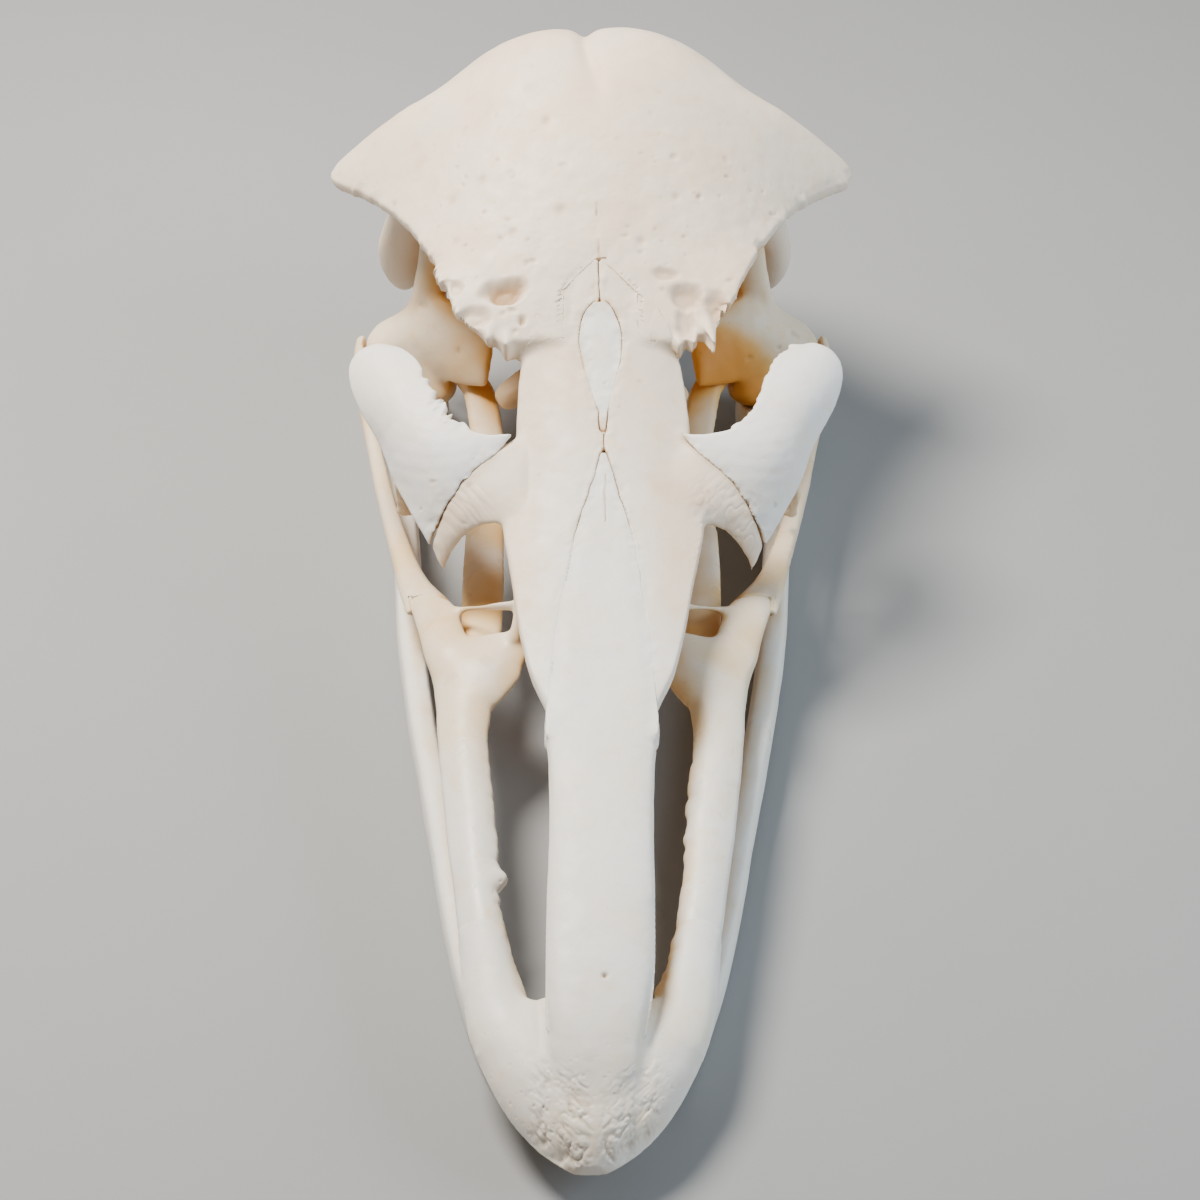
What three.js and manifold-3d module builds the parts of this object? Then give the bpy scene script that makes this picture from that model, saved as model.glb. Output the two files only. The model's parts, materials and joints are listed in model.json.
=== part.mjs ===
// Ostrich skull with its lower jaw, life size, as a group of named bones.
//
// Units are millimetres, +Z is up and the lower jaw rests on Z = 0.
// While the bones are shaped, Y is the distance back from the beak tip.
// The finished group is then centred, so the beak points along -Y.

import * as THREE from 'three';
import { mergeVertices } from 'three/addons/utils/BufferGeometryUtils.js';
import Module from 'manifold-3d';

const wasm = await Module();
wasm.setup();

// Driving dimensions

const SEAM = 0.36;
const FINEST = 0.03;
const OCCIPUT = 196;
const BAR_TOP_END = 107.5;
const NASAL_START = 61;
const NASAL_END = 135.5;
const FRONTAL_START = 124.2;
const ROOF_END = 176.5;
const WINDOW_FRONT = 24.4;
const MAXILLA_FRONT = 36;
const MAXILLA_REAR = 99;
const SYMPHYSIS_END = 24;
const MANDIBLE_TIP = 6.6;
const MANDIBLE_REAR = 168;
const SOLE_HALF = 1.3;
const LOBE_SHIFT = -1.2;
const LOOSE_SWAY = 0.5;

// Curves: each table pairs a distance from the beak tip with a size there

const MIDLINE_HEIGHT = curve([
  [0.8, 7.9], [2, 9.9], [4, 11.8], [8, 14], [15, 17], [25, 20], [40, 23], [60, 26], [80, 29.5],
  [95, 33.5], [105, 37], [120, 44], [140, 55.5], [150, 61], [160, 65.5], [168, 68], [175, 68.5],
  [181, 66], [187, 60], [191, 52], [194, 42],
]);
const SHELF_HEIGHT = curve([[0.8, 7.9], [4, 11.2], [8, 12.8], [14, 14.6], [20, 15], [24.4, 14.2]]);
const BEAK_HALF_WIDTH = curve([
  [0.8, 2], [2.1, 4.1], [4, 6.4], [6.6, 8.9], [10.6, 11.8], [15, 14], [19.4, 15.7], [24, 16.7],
  [33, 17.6], [42, 18.6], [53, 20.1], [68, 21.8], [82, 23.3], [91, 25.2], [99, 27.1],
]);
const BEAK_EDGE_HEIGHT = curve([
  [0.8, 6], [4, 6.1], [8, 6.8], [15, 8.3], [24, 9.6], [33, 10.5], [53, 12], [82, 14.2], [99, 15],
]);
const WINDOW_INNER = curve([
  [24, 7.9], [27, 8.7], [30, 10], [36, 11.2], [45, 12.8], [54, 12.9], [61, 13.7], [69, 14.6],
  [79, 13.9], [83, 13.2], [86, 11.6], [99, 12.4],
]);
const BAR_HALF_WIDTH = curve([
  [5, 4.2], [16, 6.6], [26, 7.4], [46, 7.2], [56, 7.2], [61, 7.4], [66, 7.4], [70, 7.2], [76, 6.9],
  [81, 6.2], [87, 5.3], [94, 4.3], [98, 3.2], [101, 2.3], [104, 1.2], [107.5, 0.4],
]);
const NASAL_OUTER = curve([
  [61, 7.9], [65, 8.5], [70, 9.5], [76, 10.9], [82, 12.2], [90, 13.2], [97, 14.6], [103, 15], [110, 13.2],
  [118, 12.6], [123, 12.2], [127, 10.4], [131, 6.8], [134, 3.2], [135.5, 1.3],
]);
const CAP_HALF_WIDTH = curve([
  [111, 0.4], [115, 0.8], [117.4, 1.7], [120.4, 2.8], [124, 3.4], [127, 3.1], [128.8, 2], [129.6, 0.9],
]);
const ROOF_HALF_WIDTH = curve([
  [124.2, 13.6], [126, 17.4], [129, 20.6], [135, 23.2], [144, 26.3], [154.5, 31.3], [161, 36],
  [165, 39.8], [168, 42.2], [169.6, 42.3], [171, 40.2], [173, 36], [176.5, 29],
]);
const ROOF_RIM_HEIGHT = curve([
  [124.2, 45.6], [128, 48], [135, 50], [144, 49.8], [154.5, 48.5], [161, 47], [165, 46],
  [168, 45.2], [169.6, 45.6], [171, 47.2], [173, 49], [176.5, 51],
]);
const BRAIN_HALF_WIDTH = curve([
  [141, 7], [144, 11], [148, 15.5], [153, 20], [158, 24.5], [166, 28], [174, 29], [180, 26.6],
  [186, 21.8], [191, 15.5], [194.5, 9],
]);
const BRAIN_FLOOR = curve([
  [141, 23], [148, 19.5], [156, 18], [164, 17.4], [174, 18], [182, 20.5], [190, 25], [194.5, 29],
]);

// The real skull isn't quite straight: its middle bones stand a little to one side
const MIDLINE_SWAY = curve([
  [6, 0], [14, 0.6], [26, 1.4], [56, 1.5], [80, 1.6], [95, 1.8], [105, 1.9], [112, 1.8], [121, 1.5], [129, 1.2],
  [143, 0.8], [155, 0.4], [166, 0],
]);

// Colours, read off the bone by eye

const IVORY = material(0xe9e0d2, 0.5);
const BEAK_WHITE = material(0xe6e2da, 0.46);
const BLUE_WHITE = material(0xe3e6e8, 0.44);
const CREAM = material(0xe4d8c2, 0.5);
const TAN = material(0xdcc8a0, 0.52);

function material(color, roughness) {
  return new THREE.MeshStandardMaterial({ color, roughness, metalness: 0 });
}

// A smooth function through a table of pairs, with no overshoot
function curve(pairs) {
  const slopes = pairs.slice(1).map(([x, y], i) => (y - pairs[i][1]) / (x - pairs[i][0]));
  const tangents = pairs.map((_, i) => {
    if (i === 0 || i === pairs.length - 1) return slopes[Math.min(i, slopes.length - 1)];
    const [before, after] = [slopes[i - 1], slopes[i]];
    return before * after <= 0 ? 0 : (2 * before * after) / (before + after);
  });
  return (x) => {
    const last = pairs.length - 1;
    const at = THREE.MathUtils.clamp(x, pairs[0][0], pairs[last][0]);
    let i = 0;
    while (i < last - 1 && at > pairs[i + 1][0]) i += 1;
    const span = pairs[i + 1][0] - pairs[i][0];
    const t = (at - pairs[i][0]) / span;
    const blend = t * t * (3 - 2 * t);
    return (
      pairs[i][1] * (1 - blend) + pairs[i + 1][1] * blend
      + span * (tangents[i] * t * (1 - t) ** 2 - tangents[i + 1] * t * t * (1 - t))
    );
  };
}

function range(start, end, count) {
  return Array.from({ length: count + 1 }, (_, i) => start + ((end - start) * i) / count);
}

// A closed body through rings of equal length, each end capped by a fan
function loft(rings) {
  const count = rings[0].length;
  const centre = (ring) => ring.reduce((sum, p) => sum.add(p), new THREE.Vector3()).divideScalar(count);
  const points = [...rings.flat(), centre(rings[0]), centre(rings[rings.length - 1])];
  const [startHub, endHub] = [points.length - 2, points.length - 1];
  const faces = [];
  for (let k = 0; k < rings.length - 1; k += 1) {
    for (let i = 0; i < count; i += 1) {
      const [a, b] = [k * count + i, k * count + ((i + 1) % count)];
      faces.push([a, b, b + count], [a, b + count, a + count]);
    }
  }
  const lastRow = (rings.length - 1) * count;
  for (let i = 0; i < count; i += 1) {
    const next = (i + 1) % count;
    faces.push([next, i, startHub], [lastRow + i, lastRow + next, endHub]);
  }
  return solidOf(points, faces);
}

// A solid from points and triangles, turned so that its faces point out
function solidOf(points, faces) {
  const volume = faces.reduce((sum, [a, b, c]) => (
    sum + points[a].dot(new THREE.Vector3().crossVectors(points[b], points[c]))
  ), 0);
  const outward = volume > 0 ? faces : faces.map(([a, b, c]) => [a, c, b]);
  return new wasm.Manifold(new wasm.Mesh({
    numProp: 3,
    vertProperties: new Float32Array(points.flatMap((p) => [p.x, p.y, p.z])),
    triVerts: new Uint32Array(outward.flat()),
  }));
}

function geometryOf(solid) {
  const { vertProperties, triVerts } = solid.getMesh();
  const geometry = new THREE.BufferGeometry();
  geometry.setAttribute('position', new THREE.BufferAttribute(new Float32Array(vertProperties), 3));
  geometry.setIndex(new THREE.BufferAttribute(new Uint32Array(triVerts), 1));
  return geometry;
}

// A geometry's corners as points, and its triangles as threes of corner numbers
function partsOf(geometry) {
  const vectors = (attribute) => range(0, attribute.count - 1, attribute.count - 1)
    .map((i) => new THREE.Vector3().fromBufferAttribute(attribute, i));
  const index = Array.from(geometry.getIndex().array);
  const faces = range(0, index.length / 3 - 1, index.length / 3 - 1).map((f) => index.slice(3 * f, 3 * f + 3));
  const normal = geometry.getAttribute('normal');
  return { points: vectors(geometry.getAttribute('position')), normals: normal ? vectors(normal) : [], faces };
}

// The same solid with its skin moved out, used to cut a neighbour clear of it
function grown(solid, distance = SEAM) {
  const geometry = geometryOf(solid);
  geometry.computeVertexNormals();
  const { points, normals, faces } = partsOf(geometry);
  points.forEach((point, i) => point.addScaledVector(normals[i], distance));
  return solidOf(points, faces);
}

// The same solid without the hair-thin triangles that cuts leave along their edges
function tidied(solid, reach = FINEST) {
  const { points, faces } = partsOf(geometryOf(solid));
  const fans = points.map(() => new Set());
  faces.forEach((face, f) => face.forEach((p) => fans[p].add(f)));
  const neighbours = (p) => new Set([...fans[p]].flatMap((f) => faces[f]).filter((q) => q !== p));
  const areaOf = ([a, b, c]) => new THREE.Vector3().crossVectors(
    points[b].clone().sub(points[a]),
    points[c].clone().sub(points[a]),
  );
  const swap = (f, face) => {
    faces[f].forEach((p) => fans[p].delete(f));
    faces[f] = face;
    face.forEach((p) => fans[p].add(f));
  };
  const merge = (keep, gone) => {
    const around = neighbours(gone);
    const shared = [...neighbours(keep)].filter((p) => around.has(p));
    if (shared.length !== 2) return false;
    const moved = [...fans[gone]].map((f) => [f, faces[f].map((p) => (p === gone ? keep : p))]);
    const kept = moved.filter(([f]) => !faces[f].includes(keep));
    if (kept.some(([f, face]) => areaOf(face).dot(areaOf(faces[f])) < 0)) return false;
    moved.forEach(([f, face]) => swap(f, faces[f].includes(keep) ? [] : face));
    return true;
  };
  const flip = (f, [a, b, c]) => {
    const other = [...fans[a]].find((g) => g !== f && faces[g].includes(b));
    const d = faces[other].find((p) => p !== a && p !== b);
    if (neighbours(c).has(d)) return false;
    swap(f, [a, d, c]);
    swap(other, [d, b, c]);
    return true;
  };
  let changes = 1;
  for (let pass = 0; pass < 8 && changes > 0; pass += 1) {
    changes = 0;
    for (let f = 0; f < faces.length; f += 1) {
      if (faces[f].length === 0) continue;
      const turns = [0, 1, 2].map((i) => [0, 1, 2].map((j) => faces[f][(i + j) % 3]))
        .sort((s, t) => points[s[0]].distanceTo(points[s[1]]) - points[t[0]].distanceTo(points[t[1]]));
      const [short, long] = [turns[0], turns[2]];
      const [shortest, longest] = [short, long].map(([a, b]) => points[a].distanceTo(points[b]));
      if (shortest < reach) {
        if (merge(short[0], short[1]) || merge(short[1], short[0])) changes += 1;
      } else if (areaOf(long).length() / longest < reach / 4 && flip(f, long)) changes += 1;
    }
  }
  const used = points.map((_, i) => i).filter((i) => fans[i].size > 0);
  const renumbered = new Map(used.map((p, i) => [p, i]));
  return solidOf(
    used.map((p) => points[p]),
    faces.filter((face) => face.length > 0).map((face) => face.map((p) => renumbered.get(p))),
  );
}

// The same solid with each point moved sideways by the sway at its distance back
function swayed(solid, share = 1) {
  const { vertProperties, triVerts } = solid.getMesh();
  const moved = new Float32Array(vertProperties);
  for (let i = 0; i < moved.length; i += 3) {
    moved[i] += share * MIDLINE_SWAY(moved[i + 1]);
  }
  return new wasm.Manifold(new wasm.Mesh({
    numProp: 3, vertProperties: moved, triVerts: new Uint32Array(triVerts),
  }));
}

function clearOf(solid, ...neighbours) {
  return largest(neighbours.reduce((left, other) => left.subtract(grown(other)), solid));
}

function join(...solids) {
  return largest(solids.reduce((sum, solid) => sum.add(solid)));
}

function largest(solid) {
  return solid.decompose().reduce((best, piece) => (piece.volume() > best.volume() ? piece : best));
}

// An upright ring at one distance back, a rounded box between its two sides
function uprightRing(y, halfWidth, bottom, top, squareness, count) {
  const [middle, half] = [(top + bottom) / 2, (top - bottom) / 2];
  return range(0, 2 * Math.PI, count).slice(0, count).map((angle) => {
    const [c, s] = [Math.cos(angle), Math.sin(angle)];
    const round = (value) => Math.sign(value) * Math.abs(value) ** (2 / squareness);
    return new THREE.Vector3(halfWidth * round(c), y, middle + half * round(s));
  });
}

// A bone that follows a path; each stop is x, y, z, width and height
function rod(stops, side = 1, { up = new THREE.Vector3(0, 0, 1), count = 10, steps = 3, squareness = 2.3 } = {}) {
  const path = new THREE.CatmullRomCurve3(stops.map(([x, y, z]) => new THREE.Vector3(side * x, y, z)));
  const sizes = new THREE.CatmullRomCurve3(stops.map((stop) => new THREE.Vector3(stop[3], stop[4], 0)));
  const ringAt = (t, scale = 1, push = 0) => {
    const along = path.getTangent(t);
    const across = new THREE.Vector3().crossVectors(along, up).normalize();
    const over = new THREE.Vector3().crossVectors(across, along);
    const size = sizes.getPoint(t);
    const centre = path.getPoint(t).addScaledVector(along, push * Math.min(size.x, size.y));
    return range(0, 2 * Math.PI, count).slice(0, count).map((angle) => {
      const round = (value) => Math.sign(value) * Math.abs(value) ** (2 / squareness);
      return centre.clone()
        .addScaledVector(across, (size.x / 2) * scale * round(Math.cos(angle)))
        .addScaledVector(over, (size.y / 2) * scale * round(Math.sin(angle)));
    });
  };
  const places = range(0, 1, (stops.length - 1) * steps);
  return loft([ringAt(0, 0.6, -0.2), ...places.map((t) => ringAt(t)), ringAt(1, 0.6, 0.2)]);
}

// A thin curved plate; each stop has its two edge points, a thickness and a bulge
function blade(stops, side = 1, { count = 12, steps = 2 } = {}) {
  const edge = (key) => new THREE.CatmullRomCurve3(
    stops.map((stop) => new THREE.Vector3(side * stop[key][0], stop[key][1], stop[key][2])),
  );
  const [first, second] = [edge('a'), edge('b')];
  const form = new THREE.CatmullRomCurve3(stops.map(({ thick, bulge }) => new THREE.Vector3(thick, bulge, 0)));
  const half = count / 2;
  const rings = range(0, 1, (stops.length - 1) * steps).map((t) => {
    const [a, b] = [first.getPoint(t), second.getPoint(t)];
    const middleWay = first.getTangent(t).add(second.getTangent(t)).normalize();
    const outward = new THREE.Vector3().crossVectors(b.clone().sub(a), middleWay).normalize();
    if (outward.z < 0) outward.negate();
    const { x: thick, y: bulge } = form.getPoint(t);
    const pointAt = (u, face) => {
      const arch = Math.sin(Math.PI * u);
      const depth = face * (thick / 2) * (0.35 + 0.65 * arch ** 0.6);
      return a.clone().lerp(b, u).addScaledVector(outward, bulge * arch + depth);
    };
    const ways = range(0, 1, half - 1);
    return [...ways.map((u) => pointAt(u, 1)), ...ways.reverse().map((u) => pointAt(u, -1))];
  });
  return loft(rings);
}

// A rounded lump or, when it is subtracted, a rounded hollow
function ball([x, y, z], [rx, ry, rz], turn = [0, 0, 0]) {
  const geometry = new THREE.SphereGeometry(1, 16, 10);
  geometry.deleteAttribute('normal');
  geometry.deleteAttribute('uv');
  const place = new THREE.Matrix4().compose(
    new THREE.Vector3(x, y, z),
    new THREE.Quaternion().setFromEuler(new THREE.Euler(...turn)),
    new THREE.Vector3(rx, ry, rz),
  );
  const { points, faces } = partsOf(mergeVertices(geometry.applyMatrix4(place), 1e-4));
  return solidOf(points, faces.filter(([a, b, c]) => a !== b && b !== c && c !== a));
}

// Skull roof: a vaulted plate over the orbits that ends in the postorbital wings
function skullRoof() {
  const stations = [
    FRONTAL_START, 125.2, 127, 130, 134, 139, 144, 149, 154, 158, 161.5, 164.5, 167, 168.8, 170.2,
    171.6, 173.4, ROOF_END,
  ];
  const half = 14;
  return loft(stations.map((y) => {
    const [width, middle, rim] = [ROOF_HALF_WIDTH(y), MIDLINE_HEIGHT(y), ROOF_RIM_HEIGHT(y)];
    const vault = 2.1 - 0.15 * THREE.MathUtils.smoothstep(y, 150, 168);
    const ways = range(-1, 1, half).map((u) => Math.sin((u * Math.PI) / 2.4) / Math.sin(Math.PI / 2.4));
    const topAt = (u) => middle - (middle - rim) * Math.abs(u) ** vault;
    const bottomAt = (u) => topAt(u) - 1.8 - 5 * (1 - u * u) ** 0.8;
    return [
      ...ways.map((u) => new THREE.Vector3(u * width, y, topAt(u))),
      ...ways.reverse().map((u) => new THREE.Vector3(u * width * 0.985, y, bottomAt(u))),
    ];
  }));
}

// Braincase: a domed box behind and between the orbits
function braincase() {
  const stations = [141, 144, 148, 153, 158, 164, 170, 175, 179, 183, 186, 189, 191.5, 193.5, 194.5];
  return loft(stations.map((y) => {
    const sunk = 1 - THREE.MathUtils.smoothstep(y, 166, 174);
    const top = MIDLINE_HEIGHT(y) - 2.4 * sunk;
    const floor = BRAIN_FLOOR(y);
    return uprightRing(y, BRAIN_HALF_WIDTH(y), floor, top, 2.1, 24).map((point) => {
      const depth = THREE.MathUtils.clamp(((top + floor) / 2 - point.z) / ((top - floor) / 2), 0, 1);
      return point.setX(point.x * (1 - 0.38 * depth));
    });
  }));
}

// The lobe that hangs behind each quadrate
function paroccipitalLobe(side) {
  const stops = [
    [22, 172, 46, 10, 8], [27.2, 172, 40, 8.2, 7], [29.4, 171.8, 34.4, 7.6, 6.4], [30.3, 171.8, 29, 9.2, 6.4],
    [30.3, 172.2, 24.4, 8.2, 5.6], [30, 172.6, 20.4, 4.4, 3.8],
  ];
  const shifted = stops.map(([x, ...rest]) => [x + side * LOBE_SHIFT, ...rest]);
  return rod(shifted, side, { up: new THREE.Vector3(0, 1, 0), count: 10, steps: 2 });
}

function makeCranium() {
  const condyle = ball([0, OCCIPUT - 3.4, 29.5], [4, 3.4, 3.2]);
  const foramen = ball([0, 193, 38.5], [5.6, 9, 6]);
  const basePlate = ball([0, 172, 18.8], [13, 13, 4]);
  let solid = join(skullRoof(), braincase(), basePlate, paroccipitalLobe(-1), paroccipitalLobe(1), condyle);
  for (const side of [-1, 1]) {
    const squamosal = rod([[24, 166, 46, 8, 7], [26.6, 165, 41.5, 5, 4.4], [27.4, 164.4, 38.6, 3, 2.6]], side, {
      count: 8, steps: 2,
    });
    const ear = ball([side * 25, 166.4, 27], [6, 4.4, 7]);
    const temple = ball([side * 35, 177.5, 46], [6, 5, 10]);
    const basipterygoid = rod([[4, 151, 21, 8, 7], [10, 147.6, 19.4, 6, 6], [14.4, 145.4, 18, 4.4, 4.6]], side, {
      up: new THREE.Vector3(0, 1, 0), count: 8, steps: 2,
    });
    solid = largest(solid.add(squamosal).add(basipterygoid).subtract(ear).subtract(temple));
  }
  return largest(solid.subtract(foramen));
}

// Beak tip, the long bar to the forehead and the short side processes
function makePremaxilla() {
  const ringAt = (y) => {
    const [width, edge, shelf] = [BEAK_HALF_WIDTH(y), BEAK_EDGE_HEIGHT(y), SHELF_HEIGHT(y)];
    const ways = range(-1, 1, 14).map((u) => Math.sin((u * Math.PI) / 2.2) / Math.sin(Math.PI / 2.2));
    const crown = (u) => edge + 0.7 + (shelf - edge - 0.7) * (1 - Math.abs(u) ** 2.4) ** 0.62;
    const arch = 1.4 * THREE.MathUtils.smoothstep(y, 2, 10);
    const palate = (u) => edge + arch * (1 - u * u);
    return [
      ...ways.map((u) => new THREE.Vector3(u * width, y, crown(u))),
      ...ways.reverse().map((u) => new THREE.Vector3(u * width * 0.98, y, Math.min(palate(u), crown(u) - 0.7))),
    ];
  };
  const tip = loft([0.8, 1.3, 2.1, 3.2, 4.6, 6.6, 9, 12, 15.5, 20, WINDOW_FRONT].map(ringAt));
  const barStations = [3, 5, 8, 12, 17, 22, 27, 34, 42, 50, 58, 65, 72, 79, 86, 93, 98, 103, BAR_TOP_END];
  const bar = swayed(loft(barStations.map((y) => {
    const raised = THREE.MathUtils.smoothstep(y, 4, 14);
    const top = MIDLINE_HEIGHT(y) * raised + (SHELF_HEIGHT(y) - 0.4) * (1 - raised);
    const deep = THREE.MathUtils.clamp(4.6 - (y - 76) * 0.07, 2, Math.min(4.6, y * 0.6));
    const squareness = 2.5 + 3.5 * THREE.MathUtils.smoothstep(y, 56, 72);
    return uprightRing(y, BAR_HALF_WIDTH(y), top - deep, top, squareness, 14);
  })));
  const sides = [-1, 1].map((side) => jawEdge(side, 17, MAXILLA_FRONT));
  return join(tip, bar, ...sides);
}

// The upper jaw's side between its cutting edge and the nostril window
function jawEdge(side, start, end) {
  return loft(range(start, end, Math.max(4, Math.round((end - start) / 6))).map((y) => {
    const [outer, edge] = [BEAK_HALF_WIDTH(y) - 0.1, BEAK_EDGE_HEIGHT(y)];
    const inner = WINDOW_INNER(y);
    const ways = range(0, 1, 6);
    const crown = (u) => edge + 0.9 + 3.9 * Math.sin(Math.PI * (0.1 + 0.64 * u)) - 0.8 * u;
    const floor = (u) => edge + 0.3 + 1.5 * u;
    const xAt = (u) => side * (outer + (inner - outer) * u);
    return [
      ...ways.map((u) => new THREE.Vector3(xAt(u), y, crown(u))),
      ...ways.reverse().map((u) => new THREE.Vector3(xAt(u), y, Math.min(floor(u), crown(u) - 1.1))),
    ];
  }));
}

// Upper jaw behind the premaxilla, with the plate before the eye and its strut
function makeMaxilla(side) {
  const edge = jawEdge(side, MAXILLA_FRONT + SEAM, 88);
  const plate = blade([
    { a: [21.6, 76, 15.8], b: [13.6, 76, 16.4], thick: 2, bulge: 1 },
    { a: [22.8, 80.6, 16.4], b: [9.6, 81.2, 17.6], thick: 2.4, bulge: 1 },
    { a: [24, 84.4, 17], b: [9.4, 84.8, 19], thick: 2.4, bulge: 0.6 },
    { a: [25, 88.4, 17.2], b: [10.4, 88, 20.4], thick: 2, bulge: -0.4 },
  ], side, { steps: 1 });
  const flank = blade([
    { a: [24.2, 84, 16.8], b: [17.6, 86, 18.8], thick: 2.4, bulge: 0.2 },
    { a: [25.6, 90, 16.8], b: [18.4, 90.4, 18.4], thick: 2.6, bulge: 0.2 },
    { a: [26.8, 95, 16.8], b: [19.6, 94.4, 18], thick: 2.6, bulge: 0 },
    { a: [27.4, MAXILLA_REAR, 16.8], b: [20.6, 97.8, 17.6], thick: 2.4, bulge: 0 },
  ], side, { steps: 1 });
  const strut = rod([[11, 86.5, 19.6, 2.6, 3.6], [10.2, 90.5, 24, 1.8, 3], [10, 95, 28.6, 1.6, 3]], side, {
    count: 6, steps: 2,
  });
  const crossbar = rod([[20.4, 95, 18, 1.4, 2.2], [15.6, 92.4, 20.8, 1, 1.8], [10.6, 89.8, 23.6, 1.4, 2.2]], side, {
    count: 6, steps: 2,
  });
  return join(edge, plate, flank, strut, crossbar);
}

// Nasal bone, with the prong that runs down in front of the lacrimal
function makeNasal(side) {
  const stations = [NASAL_START, 65, 70, 75, 80, 86, 92, 98, 104, 110, 116, 121, 125, 128, 131, 133.5, NASAL_END];
  const wedge = loft(stations.map((y) => {
    const inner = y < BAR_TOP_END ? Math.max(BAR_HALF_WIDTH(y) - 0.5, 0.2) : 0.2;
    const [outer, middle] = [NASAL_OUTER(y), MIDLINE_HEIGHT(y)];
    const ways = range(0, 1, 5);
    const xAt = (u) => inner + (outer - inner) * u;
    const top = (x) => middle - 0.05 - (1.8 + 0.06 * Math.max(0, y - 90)) * (x / 13) ** 2.6;
    return [
      ...ways.map((u) => new THREE.Vector3(side * xAt(u), y, top(xAt(u)))),
      ...ways.reverse().map((u) => new THREE.Vector3(side * xAt(u), y, top(xAt(u)) - 3.4 + 1.2 * u)),
    ];
  }));
  const prong = blade([
    { a: [10.4, 113, 37], b: [10.6, 98, 31.4], thick: 2.8, bulge: 0.2 },
    { a: [15, 110, 36.4], b: [14.6, 99.4, 31], thick: 2.6, bulge: 0.4 },
    { a: [19.8, 106.4, 34.2], b: [18.6, 100.4, 28.8], thick: 2.4, bulge: 0.4 },
    { a: [23, 103.4, 29.6], b: [21.4, 99.4, 25.4], thick: 2, bulge: 0.2 },
    { a: [24.8, 100.8, 25], b: [22.8, 98.4, 22.2], thick: 1.5, bulge: 0 },
  ], side, { steps: 2, count: 10 });
  return join(swayed(wedge), swayed(prong, LOOSE_SWAY));
}

// Lacrimal: the wing above the front of the orbit, with its hanging process
function makeLacrimal(side) {
  const wing = blade([
    { a: [12.6, 111.6, 38.4], b: [24.2, 100, 24.8], thick: 2.6, bulge: 1.2 },
    { a: [16, 111, 38.4], b: [26.8, 103.6, 27.4], thick: 3, bulge: 1.6 },
    { a: [20, 112, 39], b: [30.4, 110, 30.4], thick: 3.2, bulge: 1.8 },
    { a: [24, 116.8, 40.4], b: [32.2, 115.4, 32.4], thick: 3.2, bulge: 1.6 },
    { a: [25.4, 122, 40.8], b: [35.2, 120, 34.8], thick: 3, bulge: 1.5 },
    { a: [27.2, 126.6, 40.8], b: [37.2, 125, 36.8], thick: 2.6, bulge: 1.2 },
    { a: [29.8, 130, 40.2], b: [37.4, 128.4, 38], thick: 2.2, bulge: 0.6 },
    { a: [33, 132, 39.4], b: [36.4, 130.6, 38.6], thick: 1.2, bulge: 0 },
  ], side, { steps: 2, count: 12 });
  const hanging = rod([
    [27.4, 117, 35, 5, 4], [29.2, 116, 28.6, 3.4, 3], [29.8, 115.3, 24.2, 2.6, 2.4], [29.2, 114.6, 20, 3.4, 2],
  ], side, { up: new THREE.Vector3(0, 1, 0), count: 8, steps: 2 });
  return swayed(join(wing, hanging), LOOSE_SWAY);
}

// Jugal bar from the upper jaw back to the quadrate
function makeJugal(side) {
  return rod([
    [24.4, 97, 16.6, 7.4, 2.4], [26.6, 102, 16, 5.2, 2.9], [28.4, 108, 15.7, 3.8, 3.1], [32.2, 123, 16, 3, 3],
    [34.8, 136, 16.8, 2.6, 3.1], [37.2, 149, 17.6, 2.6, 3.6], [38, 156.4, 17.4, 2.6, 5], [37.8, 160.4, 17.4, 2.4, 5],
  ], side, { count: 8, steps: 2 });
}

// Quadrate: the hinge bone with three arms and two condyles
function makeQuadrate(side) {
  const upright = new THREE.Vector3(0, 1, 0);
  const body = blade([
    { a: [35.4, 162.6, 20], b: [35.2, 155.6, 15.4], thick: 5, bulge: 0.6 },
    { a: [31, 161, 24.5], b: [30, 154.4, 16.4], thick: 4.6, bulge: 1 },
    { a: [26, 159, 29.4], b: [24.6, 152, 17], thick: 4, bulge: 1 },
    { a: [20.4, 155.6, 28.6], b: [20.4, 149, 18], thick: 3, bulge: 0.6 },
    { a: [15.8, 151.4, 25.4], b: [17, 146.6, 19.6], thick: 2, bulge: 0.2 },
  ], side, { steps: 2, count: 10 });
  const otic = rod([[27.4, 159, 22, 8, 6], [26, 160.4, 31, 5.4, 4.6], [25.2, 162.6, 38.4, 5, 5]], side, {
    up: upright, count: 8, steps: 2,
  });
  const outer = rod([[34.4, 158.6, 20, 6, 6.4], [33.4, 158.6, 12.4, 6.2, 8]], side, { up: upright, count: 10, steps: 2 });
  const inner = rod([[27.6, 156.4, 20.4, 8, 7], [25.4, 153.6, 12.8, 7.4, 9]], side, { up: upright, count: 10, steps: 2 });
  return join(body, otic, outer, inner);
}

// Pterygoid strap along the roof of the mouth
function makePterygoid(side) {
  return rod([
    [15.4, 131.6, 14.8, 5.6, 2.8], [16.8, 140, 14.8, 5.4, 3], [17.6, 146.6, 15, 5.6, 3.4], [18.8, 151.2, 16, 5.2, 4.2],
    [21.4, 154, 17, 4, 4.4],
  ], side, { count: 8, steps: 2 });
}

// Palatine: the broad ribbon from the upper jaw's plate to the pterygoid
function makePalatine(side) {
  return rod([
    [16, 81, 15.4, 3, 1.6], [16.2, 90, 15.2, 6, 2.2], [16.4, 103, 14.8, 6.8, 2.4],
    [16.4, 118, 14.6, 6, 2.6], [15.4, 131, 14.8, 5.6, 2.8],
  ], side, { count: 8, steps: 2 });
}

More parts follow.
